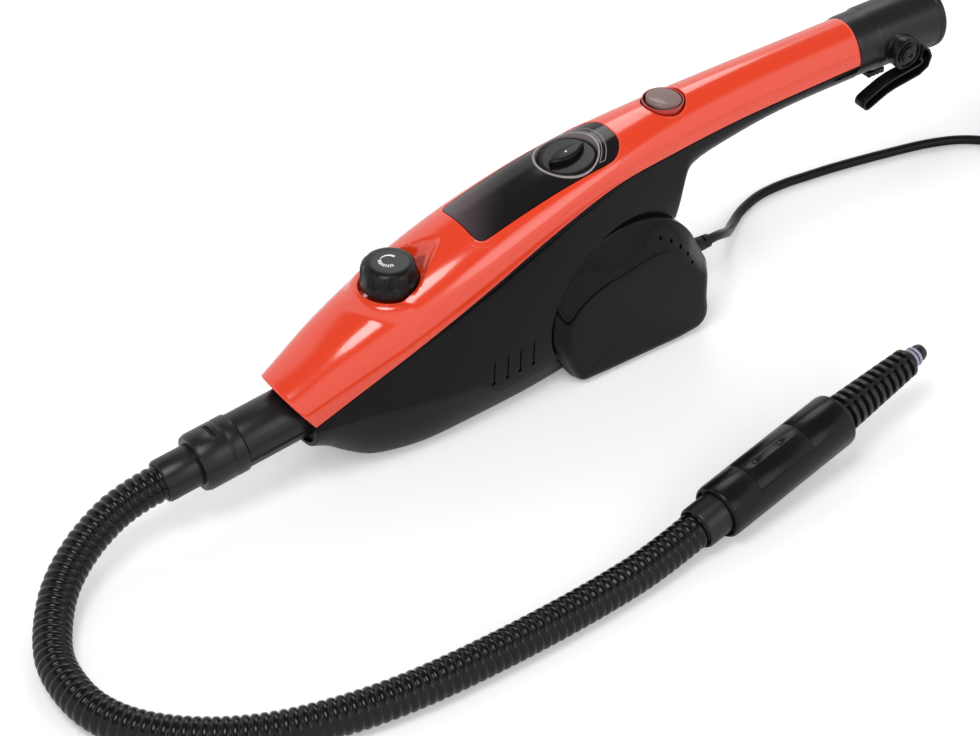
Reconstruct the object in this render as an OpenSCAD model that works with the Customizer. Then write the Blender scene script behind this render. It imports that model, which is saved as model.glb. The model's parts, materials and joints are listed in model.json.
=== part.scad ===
// Hand-held steam unit of a steam mop, with its steam hose and hose grip.
// X runs from the nose to the pole socket, Z is up, and the mid-plane is Y = 0.

/* [Body] */
// Widest width of the body
body_w = 72; // [68:1:80]
// Height of the crown where the body is widest
body_top = 138.5; // [135:0.5:144]
// Height of the line between the cover and the housing, where the body is widest
split_mid = 107.5; // [104:0.5:111]
// Width of the nose
nose_w = 52; // [48:1:58]
// Wall of the moulded shells
wall = 2.4; // [1.8:0.1:3]
// Gap between neighbouring shells
seam = 0.3; // [0.2:0.05:0.5]

/* [Handle] */
// Diameter of the handle
handle_d = 42; // [36:1:44]
// Height of the handle's axis
handle_z = 154.4; // [152:0.2:160]
// X of the handle's end
handle_end = 250; // [244:1:262]

/* [Pole socket] */
// Outer diameter of the socket
socket_d = 45; // [42:1:50]
// Diameter of the bore that takes the pole
socket_bore = 33; // [28:0.5:36]
// Depth of that bore
socket_depth = 38; // [32:1:40]
// Length of the wide part of the socket
socket_len = 56; // [52:1:66]
// Length of the collar behind it
collar_len = 20; // [14:1:26]

/* [Boiler pod] */
// Radius of the pod's round top
pod_r = 62; // [59:1:65]
// Height of the round top's centre
pod_z = 47.5; // [44:0.5:50]
// X of the round top's centre
pod_x = 50; // [47:1:53]
// X of the pod's flat back
pod_back = 118; // [114:1:122]
// Width of the pod
pod_w = 80; // [76:1:88]
// Diameter of the boiler casting
boiler_d = 50; // [44:1:54]
// Length of the boiler casting
boiler_len = 80; // [70:1:84]

/* [Water tank] */
// Width of the tank window
tank_w = 43; // [40:0.5:46]
// X of the window's front edge
tank_front = -62; // [-66:1:-58]
// X of the window's back edge
tank_back = 53; // [51:1:58]
// Height of the tank's floor
tank_floor = 100; // [96:1:106]
// Wall of the tank
tank_wall = 2; // [1.6:0.1:2.6]
// X of the filler cap
cap_x = 20; // [14:1:22]
// Diameter of the filler cap
cap_d = 39; // [36:0.5:39]
// Height of the cap above its seat
cap_h = 7; // [5:0.5:9]
// Outer diameter of the filler neck
neck_d = 29; // [26:0.5:31]
// How far the cap is let into the tank
cap_sink = 13; // [11:0.5:14]

/* [Steam dial] */
// Diameter of the dial
dial_d = 36.6; // [34:0.2:38]
// Height of the dial
dial_h = 17; // [14:0.5:20]
// X of the dial's axis
dial_x = -114.5; // [-116:0.5:-111]
// Number of finger flutes round the dial
dial_flutes = 8; // [6:1:10]
// Diameter of the dial's shaft
dial_shaft_d = 6; // [5:0.5:8]

/* [Switch] */
// X of the switch's centre
switch_x = 97; // [94:1:100]
// Diameter of the round switch
switch_d = 25; // [22:0.5:27]
// Angle that the rocker leans in each position
rocker_tilt = 6; // [3:1:7]

/* [Nose] */
// X of the joint between spout and hose collar
nose_x = -230; // [-236:1:-226]
// Height of the spout's axis there
nose_z = 44.2; // [42:0.2:47]
// Angle that the spout points down
nose_tilt = 6; // [3:0.5:8]
// Outer diameter of the spout
spout_d = 36.4; // [33:0.2:37]
// Outer diameter of the hose collar
collar_d = 38.6; // [37:0.2:41]
// Length of the hose collar
hose_collar_len = 30; // [26:1:36]
// Outer diameter of the hose cuffs
cuff_d = 28; // [27:0.5:31]
// Length of the nose cuff
cuff_len = 24; // [18:1:28]

/* [Steam hose] */
// Outer diameter of the hose
hose_d = 23.5; // [22:0.5:25]
// Diameter of the hose's bore
hose_bore = 9; // [6:0.5:12]

/* [Hose grip] */
// Diameter of the grip
grip_d = 36.6; // [34:0.2:40]
// Length of the grip's barrel
grip_len = 110; // [100:1:120]
// Length of its hose cuff
grip_cuff_len = 18; // [16:1:24]
// Length of the ribbed cage
cage_len = 71; // [60:1:76]
// Diameter of the cage at the barrel
cage_d1 = 26.5; // [24:0.5:28]
// Diameter of the cage at its tip
cage_d2 = 20; // [17:0.5:22]
// Number of ribs round the cage
cage_rings = 11; // [8:1:12]
// Diameter of the spigot that attachments push onto
spigot_d = 11.6; // [10:0.2:13]
// Length of that spigot
spigot_len = 13; // [11:0.5:18]

/* [Power lead] */
// Diameter of the lead
lead_d = 7; // [6:0.5:8]
// Mid-turn diameter of the coil
coil_d = 80; // [70:1:84]
// Length of the strain relief
relief_len = 26; // [20:1:40]

/* [Hidden] */
$fn = 48;
cut = 1;
clear = 0.3;

// ---------- outline of the body ----------

pod_front = pod_x - pod_r;
neck_t = [0.22, 0.5, 0.72, 0.88];
function mix(a, b, t) = a + (b - a) * t;
function half_at(t) = mix(body_w, handle_d, t) / 2;
handle_top = handle_z + handle_d / 2;
split_end = handle_z - 3.5;

// x, crown height, split height, half width
form = [
    [-240, 60, 22, nose_w / 2 - 8],
    [-192, 84, 49, nose_w / 2 - 1],
    [-160, body_top - 38, split_mid - 40.5, mix(nose_w, body_w, 0.45) / 2],
    [-120, body_top - 19.5, split_mid - 21, body_w / 2 - 1],
    [-70, body_top, split_mid, body_w / 2],
    [-10, mix(body_top, handle_top, 0.45), mix(split_mid, split_end, 0.52), half_at(neck_t[0])],
    [40, mix(body_top, handle_top, 0.7), mix(split_mid, split_end, 0.82), half_at(neck_t[1])],
    [90, mix(body_top, handle_top, 0.88), mix(split_mid, split_end, 0.91), half_at(neck_t[2])],
    [140, handle_top - 1.5, split_end - 1.5, half_at(neck_t[3])],
    [200, handle_top - 0.5, split_end - 0.5, handle_d / 2 + 0.5],
    [handle_end, handle_top, split_end, handle_d / 2],
    [handle_end + 60, handle_top, split_end, handle_d / 2]];

handle_bottom = handle_z - handle_d / 2;
// x, height of the underside
under = [
    [-200, 33], [-187, 27.5], [-175, 21], [-160, 9.5], [-147, 2.2], [-134, 0],
    [-60, 0], [-20, 0], [4, 0], [11, 0.2], [20, 14], [60, 80],
    [85, handle_bottom - 34.4], [100, handle_bottom - 25], [115, handle_bottom - 15.5],
    [130, handle_bottom - 8.5], [145, handle_bottom - 4.4], [170, handle_bottom - 1.4],
    [205, handle_bottom],
    [handle_end, handle_bottom], [handle_end + 60, handle_bottom]];

// x, height of the line between the belly cover and the housing
belly_line = [
    [-200, 50], [-187, 49], [-160, 48], [-130, 44.5], [-100, 40], [-85, 37.5],
    [-70, 35], [-63, 31], [-58, 26], [-36, 23.5], [-10, 22.5], [12, 21.5]];
belly_front = -187;
belly_back = pod_front + 24;

// A smooth curve through column c of a table
function row_of(t, x, i = 0) = i >= len(t) - 2 || x < t[i + 1][0] ? i : row_of(t, x, i + 1);
function rise(t, i, c) = (t[i + 1][c] - t[i][c]) / (t[i + 1][0] - t[i][0]);
function slope(t, i, c) =
    i == 0 ? rise(t, 0, c) :
    i == len(t) - 1 ? rise(t, i - 1, c) : (rise(t, i, c) + rise(t, i - 1, c)) / 2;
function curve(t, x, c) =
    let (i = row_of(t, x), h = t[i + 1][0] - t[i][0], s = (x - t[i][0]) / h)
    (2 * s ^ 3 - 3 * s ^ 2 + 1) * t[i][c] + (s ^ 3 - 2 * s ^ 2 + s) * h * slope(t, i, c)
    + (3 * s ^ 2 - 2 * s ^ 3) * t[i + 1][c] + (s ^ 3 - s ^ 2) * h * slope(t, i + 1, c);
function ramp(x, a, b) = let (s = min(1, max(0, (x - a) / (b - a)))) s * s * (3 - 2 * s);

function crown(x) = curve(form, x, 1);
function split(x) = curve(form, x, 2);
function half(x) = curve(form, x, 3);
function belly(x) = curve(under, x, 1);
function belly_seam(x) = curve(belly_line, x, 1);
function upper_power(x) = mix(2.4, 2, ramp(x, -10, 140));
function lower_power(x) =
    mix(mix(2.6, 5.4, ramp(x, -175, -95)), mix(3.4, 2, ramp(x, 60, 200)), ramp(x, -40, 60));
// The nose edge of the cover leans forward
function nose_lean(x) = mix(0.68, 0, ramp(x, belly_front, -125));

function sgn_pow(v, p) = sign(v) * abs(v) ^ p;
// A point of the body's skin: a runs from the left split over the crown, then under
function skin(x, a, inset = 0) =
    let (up = sin(a) >= 0,
         power = 2 / (up ? upper_power(x) : lower_power(x)),
         lean = up ? nose_lean(x) : 0,
         top = crown(x - lean * (crown(x) - split(x))) - inset,
         low = belly(x) + inset,
         rise = (up ? top - split(x) : split(x) - low) * sgn_pow(sin(a), power))
    [x - lean * rise, -(half(x) - inset) * sgn_pow(cos(a), power), split(x) + rise];
// Angle at which the skin passes the belly line
function seam_angle(x) =
    let (s = (split(x) - belly_seam(x)) / (split(x) - belly(x)))
    asin(min(1, max(0, s)) ^ (lower_power(x) / 2));

function steps(a, b, n) = [for (i = [0:n]) mix(a, b, i / n)];
// One ring of a shell: the outside from angle a to angle b, then back along the inside
function shell_ring(x, a, b, n, t) = concat(
    [for (q = steps(a, b, n)) skin(x, q)],
    [for (q = steps(b, a, n)) skin(x, q, t)]);

// A closed solid through rings that all have the same number of points
module loft_shell(rings) {
    m = len(rings[0]);
    n = m / 2;
    last = (len(rings) - 1) * m;
    sides = [for (s = [0:len(rings) - 2], i = [0:m - 1])
        let (a = s * m + i, b = s * m + (i + 1) % m)
        each [[a, b, b + m], [a, b + m, a + m]]];
    start = [for (i = [0:n - 2]) each [[i, m - 1 - i, m - 2 - i], [i, m - 2 - i, i + 1]]];
    end = [for (i = [0:n - 2]) each [
        [last + i, last + i + 1, last + m - 2 - i],
        [last + i, last + m - 2 - i, last + m - 1 - i]]];
    polyhedron([for (r = rings) each r], concat(sides, start, end), convexity = 10);
}

// ---------- shells ----------

module tank_outline(grow = 0) {
    w = tank_w / 2 + grow;
    corner = 6;
    hull_r = 15;
    translate([tank_front - grow + corner, -w])
        square([tank_back - tank_front + 2 * grow - corner - hull_r, 2 * w]);
    translate([tank_front - grow, -w + corner]) square([corner, 2 * w - 2 * corner]);
    translate([tank_back + grow - hull_r, -w + hull_r]) square([hull_r, 2 * w - 2 * hull_r]);
    for (side = [-1, 1]) {
        translate([tank_front - grow + corner, side * (w - corner)]) circle(corner);
        translate([tank_back + grow - hull_r, side * (w - hull_r)]) circle(hull_r);
    }
}

dial_seat = crown(dial_x) - 5;
dial_gap = 1.2;
pad_wall = 2;
// A drop-shaped hollow for the fingers, from the dial's seat up to a tip behind it
scoop_r = dial_d / 2 + 3.4;
scoop_len = 41;
module dial_scoop(grow, sink) hull() {
    translate([dial_x, 0, dial_seat - sink]) cylinder(h = 30, r = scoop_r + grow);
    translate([dial_x + scoop_len, 0, crown(dial_x + scoop_len) - 1 - sink]) cylinder(h = 12, r = 0.6 + grow);
}
module dial_pad() {
    translate([dial_x, 0, dial_seat - 14])
        cylinder(h = 14, r = dial_d / 2 + dial_gap + pad_wall);
    dial_scoop(pad_wall, pad_wall);
}
module dial_recess() {
    dial_scoop(0, 0);
    translate([dial_x, 0, dial_seat - 10]) cylinder(h = 40, r = dial_d / 2 + dial_gap);
    translate([dial_x, 0, 0]) cylinder(h = 200, r = dial_shaft_d / 2 + 1);
}

switch_seat = crown(switch_x) - 6;
switch_r = switch_d / 2;
switch_lip = 1.5;
module switch_hole(r, h, z) {
    translate([switch_x, 0, z]) cylinder(h = h, r = r);
}
module switch_pad() {
    switch_hole(switch_r + switch_lip + 2, 20, switch_seat - 2.5);
}

cover_x = concat(steps(belly_front, -125, 7), steps(-116, 108, 15), steps(118, handle_end, 7));
module top_cover() color("orangered") difference() {
    union() {
        translate([0, 0, seam / 2])
            loft_shell([for (x = cover_x) shell_ring(x, 0, 180, 14, wall)]);
        intersection() {
            union() {
                dial_pad();
                switch_pad();
            }
            translate([0, 0, seam / 2]) union() {
                loft_shell([for (x = steps(-142, -67, 6)) shell_ring(x, 24, 156, 9, 24)]);
                loft_shell([for (x = steps(76, 118, 4)) shell_ring(x, 24, 156, 9, 10)]);
            }
        }
    }
    dial_recess();
    translate([0, 0, tank_floor - 20]) linear_extrude(120) tank_outline(seam);
    switch_hole(switch_r + switch_lip, 20, switch_seat);
    switch_hole(switch_r - 1, 60, switch_seat - 30);
}

vent_x = [-61, -50, -39.5, -28.5];
module vent_cuts() {
    for (x = vent_x) translate([x, -60, 31]) cube([3, 120, 2]);
}

// Screws that hold the two halves, as x and z
housing_screws = [[-66, 91], [114, 140], [214, 143]];
pod_screws = [[104, 15], [9.5, 13]];
boss_r = 3.6;
pilot_r = 1.45;
screw_head_r = 3;
module boss(at, y0, y1) {
    translate([at[0], y1, at[1]]) rotate([-90, 0, 0]) cylinder(h = y0 - y1, r = boss_r);
}
module cross_bore(at, r, y0, y1) {
    translate([at[0], y1, at[1]]) rotate([-90, 0, 0]) cylinder(h = y0 - y1, r = r);
}
// The right half takes the screw heads, the left half their threads
module screw_cuts(at, y_wall, heads) {
    cross_bore(at, heads ? pilot_r + 0.3 : pilot_r, cut, heads ? -80 : -14);
    if (heads) cross_bore(at, screw_head_r + 0.3, -y_wall + head_sink, -80);
}
head_sink = 4.5;

rail_z = 145;
rail_x = 128;
rail_len = 62;
rail_w = 8;
board_w = 30;
seam_x = concat(steps(belly_front, -140, 5), [-124, -108, -92, -80, -70, -63, -58, -46, -34, -22, -10, 2],
    [belly_back - seam]);
housing_x = concat(seam_x, steps(belly_back + 1, 92, 6), steps(98, 122, 4), steps(134, handle_end, 6));
function housing_start(x) = x < belly_back ? 360 - seam_angle(x) : 270;
module housing_half(heads) {
    difference() {
        union() {
            translate([0, -seam / 2, -seam / 2])
                loft_shell([for (x = housing_x) shell_ring(x, housing_start(x), 360, 10, wall)]);
            for (at = housing_screws) boss(at, -seam / 2, -half(at[0]) + 1.2);
            translate([rail_x, -half(rail_x) + 1, rail_z - 2]) cube([rail_len, rail_w, 2]);
        }
        vent_cuts();
        pod_cut();
        for (at = housing_screws) screw_cuts(at, half(at[0]), heads);
    }
}
module left_housing() color([0.05, 0.05, 0.06]) housing_half(false);
module right_housing() color([0.07, 0.07, 0.08]) mirror([0, 1, 0]) housing_half(true);

module belly_cover() color([0.13, 0.13, 0.13]) difference() {
    translate([0, 0, -seam])
        loft_shell([for (x = seam_x)
            shell_ring(x, 180 + seam_angle(x), 360 - seam_angle(x), 14, wall)]);
    translate([-300, -100, -20]) cube([400, 200, 20]);
    pod_cut();
}

// The pod: points of its outline as seen from the side, each with the way inwards
// and the width of the sloping band between its edge and its flat side
pod_corner = 15;
front_foot = pod_front + 26;
front_corner = 10;
function band(q) = mix(8, 4, ramp(q, 100, 170)) + 15 * cos(min(90, 1.1 * abs(q - 103))) ^ 2;
function arc(cx, cz, r, a, b, n, wide) = [for (q = steps(a, b, n))
    [[cx + r * cos(q), cz + r * sin(q)], -[cos(q), sin(q)], wide]];
pod_points = concat(
    [for (q = steps(184, 24, 20))
        [[pod_x + pod_r * cos(q), pod_z + pod_r * sin(q)], -[cos(q), sin(q)], band(q)]],
    [[[pod_back - 5, pod_z + 12.8], [-0.91, -0.42], 7], [[pod_back, pod_z + 2], [-1, 0], 5]],
    arc(pod_back - pod_corner, pod_corner, pod_corner, 0, -90, 4, 2),
    [[[pod_x, 0], [0, 1], 0.8]],
    arc(front_foot, front_corner, front_corner, 270, 205, 3, 1.2),
    [[[pod_front + 9, 20], [0.87, 0.5], 2], [[pod_front + 3, 32], [0.92, 0.4], 3]]);
function pod_side(inset, share = 0) = [for (p = pod_points) p[0] + p[1] * (inset + share * p[2])];
function pod_level(y, pts) = [for (p = pts) [p[0], y, p[1]]];
pod_half = pod_w / 2;
side_wall = wall + 0.4;
function pod_rings() = [
    pod_level(-seam / 2, pod_side(0)),
    pod_level(-(pod_half - 11), pod_side(0)),
    pod_level(-(pod_half - 9.8), pod_side(0.4, 0.04)),
    pod_level(-(pod_half - 2.4), pod_side(1, 0.94)),
    pod_level(-(pod_half - 0.7), pod_side(3, 1)),
    pod_level(-pod_half, pod_side(6, 1)),
    pod_level(-(pod_half - side_wall), pod_side(9, 1)),
    pod_level(-(pod_half - 12.4), pod_side(wall)),
    pod_level(-seam / 2, pod_side(wall))];

// A cup: rings up the outside and down the inside, with a fan across each floor
module cup(rings, floor_ring) {
    m = len(rings[0]);
    k = len(rings);
    sides = [for (s = [0:k - 1], i = [0:m - 1])
        if (s != floor_ring)
        let (a = s * m + i, b = s * m + (i + 1) % m, up = ((s + 1) % k - s) * m)
        each [[a, b, b + up], [a, b + up, a + up]]];
    fan = [for (i = [0:m - 1]) each [
        [k * m, floor_ring * m + i, floor_ring * m + (i + 1) % m],
        [k * m + 1, (floor_ring + 1) * m + (i + 1) % m, (floor_ring + 1) * m + i]]];
    centres = [[pod_x, rings[floor_ring][0][1], pod_z], [pod_x, rings[floor_ring + 1][0][1], pod_z]];
    polyhedron(concat([for (r = rings) each r], centres), concat(sides, fan), convexity = 10);
}
module pod_cut() {
    rotate([90, 0, 0]) linear_extrude(200, center = true) polygon(pod_side(-seam));
}

relief_z = 38;
relief_r = 6.5;
neck_gap = tank_w / 2 + 2;
pod_vents = 5;
module boiler_cover_half(heads) {
    difference() {
        union() {
            cup(pod_rings(), 5);
            for (at = pod_screws) boss(at, -seam / 2, -pod_half + 1.5);
        }
        for (i = [0:pod_vents - 1]) {
            q = 64 - 11 * i;
            translate([pod_x + (pod_r - 12) * cos(q), 0, pod_z + (pod_r - 12) * sin(q)])
                rotate([90, 0, 0]) cylinder(h = 100, r = 1.3);
        }
        translate([pod_front - 4, -neck_gap, pod_z + 8]) cube([96, 2 * neck_gap, 80]);
        translate([pod_front - 4, -22, 22]) cube([30, 44, 60]);
        translate([pod_back - 20, 0, relief_z]) rotate([0, 90, 0]) cylinder(h = 40, r = relief_r - 0.5);
        for (at = pod_screws) screw_cuts(at, pod_half, heads);
    }
}
module left_boiler_cover() color([0.05, 0.05, 0.06]) boiler_cover_half(false);
module right_boiler_cover() color([0.07, 0.07, 0.08]) mirror([0, 1, 0]) boiler_cover_half(true);

module one_screw(at, y_seat, len) {
    translate([at[0], y_seat, at[1]]) rotate([-90, 0, 0]) difference() {
        union() {
            cylinder(h = 2.2, r = screw_head_r);
            translate([0, 0, -len]) cylinder(h = len + 0.1, r = pilot_r - 0.05);
        }
        for (q = [0, 90]) rotate([0, 0, q]) translate([-1.8, -0.4, 1.2]) cube([3.6, 0.8, 2]);
    }
}
module body_screws() color("silver") {
    for (at = housing_screws) one_screw(at, half(at[0]) - head_sink, half(at[0]) - head_sink + 12);
    for (at = pod_screws) one_screw(at, pod_half - head_sink, pod_half - head_sink + 12);
}

// ---------- handle end ----------

module on_handle() {
    translate([0, 0, handle_z]) rotate([0, 90, 0]) children();
}
spigot_r = handle_d / 2 - wall - 1;
socket_x = handle_end + collar_len;
socket_end = socket_x + socket_len;
socket_r = socket_d / 2;
latch_x = socket_x + 10;
latch_room = 12;
latch_w = 10;
latch_travel = 2.5;
latch_ledge = handle_z - socket_r + 2;
latch_roof = latch_ledge + 12;
hub_x = socket_x + 12;
hub_pin_r = 4;
hub_face = socket_r + 2;
hub_thick = 7.5;
module pole_socket() color([0.06, 0.06, 0.06]) difference() {
    union() {
        on_handle() rotate_extrude() polygon([
            [0, handle_end - 18], [spigot_r - 1, handle_end - 18], [spigot_r, handle_end - 16],
            [spigot_r, handle_end], [handle_d / 2, handle_end], [handle_d / 2 + 0.6, handle_end + 4],
            [handle_d / 2 + 0.6, socket_x - 3], [socket_r, socket_x], [socket_r, socket_end - 5],
            [socket_r + 0.8, socket_end - 4], [socket_r + 0.8, socket_end - 1],
            [socket_r, socket_end], [0, socket_end]]);
        translate([hub_x, 0, handle_z]) rotate([90, 0, 0]) {
            cylinder(h = hub_face, r = 10);
            cylinder(h = hub_face + hub_thick + clear, r = hub_pin_r);
        }
    }
    on_handle() translate([0, 0, socket_end - socket_depth])
        cylinder(h = socket_depth + cut, r = socket_bore / 2);
    on_handle() translate([0, 0, socket_end - 2])
        cylinder(h = 2 + cut, r1 = socket_bore / 2, r2 = socket_bore / 2 + 1.5);
    translate([latch_x - latch_room / 2, -latch_w / 2 - 1, latch_ledge])
        cube([latch_room, latch_w + 2, latch_roof - latch_ledge]);
    translate([latch_x - latch_w / 2, -latch_w / 2, handle_z - socket_r - 10]) cube([latch_w, latch_w, 14]);
    translate([hub_x, -hub_face - hub_thick - clear - cut, handle_z])
        rotate([-90, 0, 0]) cylinder(h = 12, r = 1.25);
}

module tube_latch() color([0.08, 0.08, 0.08]) {
    stem = latch_w - 2 * clear;
    head = latch_room - 2 * clear;
    foot_top = handle_z - socket_r - latch_travel - clear;
    translate([latch_x - stem / 2, -stem / 2, foot_top - 1]) cube([stem, stem, latch_ledge + 2 - foot_top]);
    translate([latch_x - head / 2, -stem / 2, latch_ledge + clear]) cube([head, stem, 3]);
    difference() {
        translate([latch_x - 7, -7, foot_top - 4]) cube([14, 14, 4]);
        for (i = [-1:1]) translate([latch_x + 3.5 * i - 0.5, -8, foot_top - 4.5]) cube([1, 16, 1]);
    }
}
spring_foot = latch_ledge + clear + 3;
spring_turns = 4;
spring_wire = 0.5;
spring_path = [for (i = [0:spring_turns * 8])
    [latch_x + 3.2 * cos(45 * i), 3.2 * sin(45 * i),
        mix(spring_foot + spring_wire, latch_roof - spring_wire, i / (spring_turns * 8))]];
module latch_spring() color("silver") tube(spring_path, spring_wire, 6, [0, 0, 1]);

// Round about the hub and back under the handle, as x and z
hook_path = [[6, 0], [11, -2], [15, -5], [17, -9], [16, -13], [11, -15.6],
    [0, -17], [-11, -18.4], [-18, -20.2], [-25, -23], [-33, -26.6]];
hook_arm = 4.8;
function side_of(p, i, d) =
    let (a = p[max(0, i - 1)], b = p[min(len(p) - 1, i + 1)], t = (b - a) / norm(b - a))
    [p[i][0] - t[1] * d, p[i][1] + t[0] * d];
module strip(p, w) {
    k = len(p) - 1;
    way = atan2(p[k][1] - p[k - 1][1], p[k][0] - p[k - 1][0]);
    polygon(concat([for (i = [0:k]) side_of(p, i, w)],
        [for (q = steps(75, -75, 10)) p[k] + w * [cos(way + q), sin(way + q)]],
        [for (i = [k:-1:0]) side_of(p, i, -w)]));
}
module at_hub(gap) {
    translate([hub_x, -hub_face - gap, handle_z]) rotate([90, 0, 0]) children();
}
module cord_hook() color([0.07, 0.07, 0.07]) at_hub(clear) difference() {
    union() {
        cylinder(h = hub_thick, r = 11.5);
        linear_extrude(9) strip(hook_path, hook_arm);
    }
    translate([0, 0, 2.4]) linear_extrude(9) difference() {
        strip(hook_path, hook_arm - 1.6);
        circle(12.5);
    }
    translate([0, 0, hub_thick]) cylinder(h = 9, r = 12);
    translate([0, 0, -cut]) cylinder(h = 20, r = hub_pin_r + 0.06);
    translate([0, 0, hub_thick - 1.2]) difference() {
        cylinder(h = 2, r = 9.5);
        cylinder(h = 2, r = 7.5);
    }
}
module hook_screw() color("silver") at_hub(hub_thick + 2 * clear) difference() {
    union() {
        rotate_extrude() polygon([
            [0, -clear], [hub_pin_r, -clear], [hub_pin_r, 0], [6, 0], [6, 1], [4.6, 2.2], [0, 2.2]]);
        translate([0, 0, -8]) cylinder(h = 8, r = 1.2);
    }
    for (q = [0, 90]) rotate([0, 0, q]) translate([-2.2, -0.45, 1]) cube([4.4, 0.9, 2]);
}

// ---------- tank and cap ----------

function dome_ring(x, inset, base) =
    let (top = [for (q = steps(32, 148, 14)) skin(x, q, inset)])
    concat(top, [for (i = [14:-1:0]) [x, top[i][1], base]]);
cap_tilt = atan((crown(cap_x + 10) - crown(cap_x - 10)) / 20);
module at_cap() {
    translate([cap_x, 0, crown(cap_x)]) rotate([0, -cap_tilt, 0]) translate([0, 0, -cap_sink]) children();
}
outlet_x = -42;
// The cap stands in a round well that is open at the top
well_r = cap_d / 2 + 0.8;
well_wall = 1;
seat_h = 1.6;
module tank_form(inset) intersection() {
    translate([0, 0, tank_floor + inset]) linear_extrude(100) tank_outline(-inset);
    loft_shell([for (x = steps(tank_front - 2, tank_back + 2, 8)) dome_ring(x, inset, 80 + 5 * inset)]);
}
module water_tank() color([0.5, 0.55, 0.6, 0.6]) {
    difference() {
        union() {
            difference() {
                tank_form(0);
                tank_form(tank_wall);
            }
            intersection() {
                tank_form(0);
                at_cap() translate([0, 0, -0.6]) cylinder(h = cap_sink + 12, r = well_r + well_wall);
            }
        }
        at_cap() translate([0, 0, seat_h]) cylinder(h = cap_sink + 12, r = well_r);
        at_cap() translate([0, 0, -12]) cylinder(h = 30, r = neck_d / 2 - 1.8);
        translate([outlet_x, 0, tank_floor - cut]) cylinder(h = 8, r = 4);
    }
    at_cap() difference() {
        translate([0, 0, 0.4]) cylinder(h = cap_h - 2.8, r = neck_d / 2);
        translate([0, 0, -1]) cylinder(h = 20, r = neck_d / 2 - 1.8);
    }
}
module tank_outlet() color([0.1, 0.1, 0.1]) translate([outlet_x, 0, 0]) rotate_extrude() polygon([
    [1.8, tank_floor - 20], [3.4, tank_floor - 20], [3.9, tank_floor - 15], [3.2, tank_floor - 14.5],
    [3.2, tank_floor - 5], [8, tank_floor - 4], [8, tank_floor], [3.9, tank_floor],
    [3.9, tank_floor + 4], [1.8, tank_floor + 4]]);

cap_r = cap_d / 2;
neck_top = cap_h - 2.4;
module tank_cap() color([0.05, 0.05, 0.05]) at_cap() {
    rotate_extrude() polygon([
        [0, cap_h + 0.2], [neck_d / 2 - 0.6, cap_h + 0.2], [neck_d / 2 + 0.5, cap_h - 1], [neck_d / 2 + 0.5, 2],
        [cap_r - 0.8, 2], [cap_r, 3], [cap_r, cap_h + 0.6], [cap_r - 1.4, cap_h + 2],
        [cap_r - 4, cap_h + 2.4], [0, cap_h + 2.4]]);
    leaf_r = 19;
    leaf_half = 6;
    intersection() {
        translate([0, leaf_r - leaf_half, cap_h + 2]) cylinder(h = 4.6, r = leaf_r, $fn = 96);
        translate([0, leaf_half - leaf_r, cap_h + 2]) cylinder(h = 4.6, r = leaf_r, $fn = 96);
    }
}
module cap_seal() color([0.3, 0.3, 0.3]) at_cap() rotate_extrude() polygon([
    [neck_d / 2 - 4, cap_h - 2], [neck_d / 2 - 0.8, cap_h - 2],
    [neck_d / 2 - 0.8, cap_h + 0.2], [neck_d / 2 - 4, cap_h + 0.2]]);

// ---------- dial ----------

dial_r = dial_d / 2;
dial_z = dial_seat + clear + 0.2;
control_top = dial_seat - 14;
module dial_knob() color([0.06, 0.06, 0.06]) translate([dial_x, 0, dial_z]) difference() {
    rotate_extrude() polygon([
        [0, 4], [5, 4], [5, 0.6], [7, 0.6], [7, 4], [dial_r - 2.2, 4], [dial_r - 2.2, 0], [dial_r, 0],
        [dial_r, 4], [dial_r - 0.5, dial_h - 4.5], [dial_r - 1.6, dial_h - 2], [dial_r - 4, dial_h - 0.6],
        [dial_r - 6, dial_h], [0, dial_h]]);
    for (i = [0:dial_flutes - 1]) rotate([0, 0, 360 * (i + 0.5) / dial_flutes])
        translate([dial_r + 3.1, 0, 4.5]) cylinder(h = dial_h, r = 4.6);
    translate([0, 0, 0]) cylinder(h = 9, r = dial_shaft_d / 2);
    translate([-dial_r + 5, -0.5, dial_h - 0.5]) cube([5, 1, 1]);
}
module dial_shaft() color("silver") translate([dial_x, 0, control_top - 8])
    cylinder(h = dial_z + 9 - control_top + 8, r = dial_shaft_d / 2);
module steam_control() color([0.2, 0.25, 0.3]) difference() {
    translate([dial_x - 13, -11, control_top - 14]) cube([26, 22, 14]);
    translate([dial_x, 0, control_top - 8]) cylinder(h = 20, r = dial_shaft_d / 2 + 0.05);
    translate([dial_x - 14, -8, control_top - 15]) cube([4, 16, 6]);
}

// ---------- switch ----------

switch_top = crown(switch_x) + 0.2;
pivot_z = switch_seat + 0.6;
module at_rocker() {
    translate([switch_x, 0, pivot_z]) rotate([0, rocker_tilt, 0]) children();
}
module switch_frame() color([0.85, 0.8, 0.78]) translate([switch_x, 0, 0]) difference() {
    translate([0, 0, switch_seat + 1.5])
        cylinder(h = switch_top - switch_seat - 1.5, r = switch_r + switch_lip - clear);
    translate([0, 0, switch_seat]) cylinder(h = 20, r = switch_r + 0.4);
}
module switch_boot() color([0.6, 0.45, 0.42, 0.7]) at_rocker() difference() {
    rotate_extrude() polygon([
        [0, 3.4], [switch_r - 1.4, 3.4], [switch_r - 0.8, 4], [switch_r - 0.8, 6.4],
        [switch_r - 2, 7.4], [0, 8]]);
    translate([0, 0, 3]) cylinder(h = 3, r = switch_r - 2.2);
}
module switch_rocker() color([0.12, 0.1, 0.1]) at_rocker() {
    translate([0, 0, 3]) cylinder(h = 3, r = switch_r - 2.6);
    translate([-2, -4, -1]) cube([4, 8, 4.5]);
    rotate([90, 0, 0]) cylinder(h = 14, r = 1.5, center = true);
}
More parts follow.
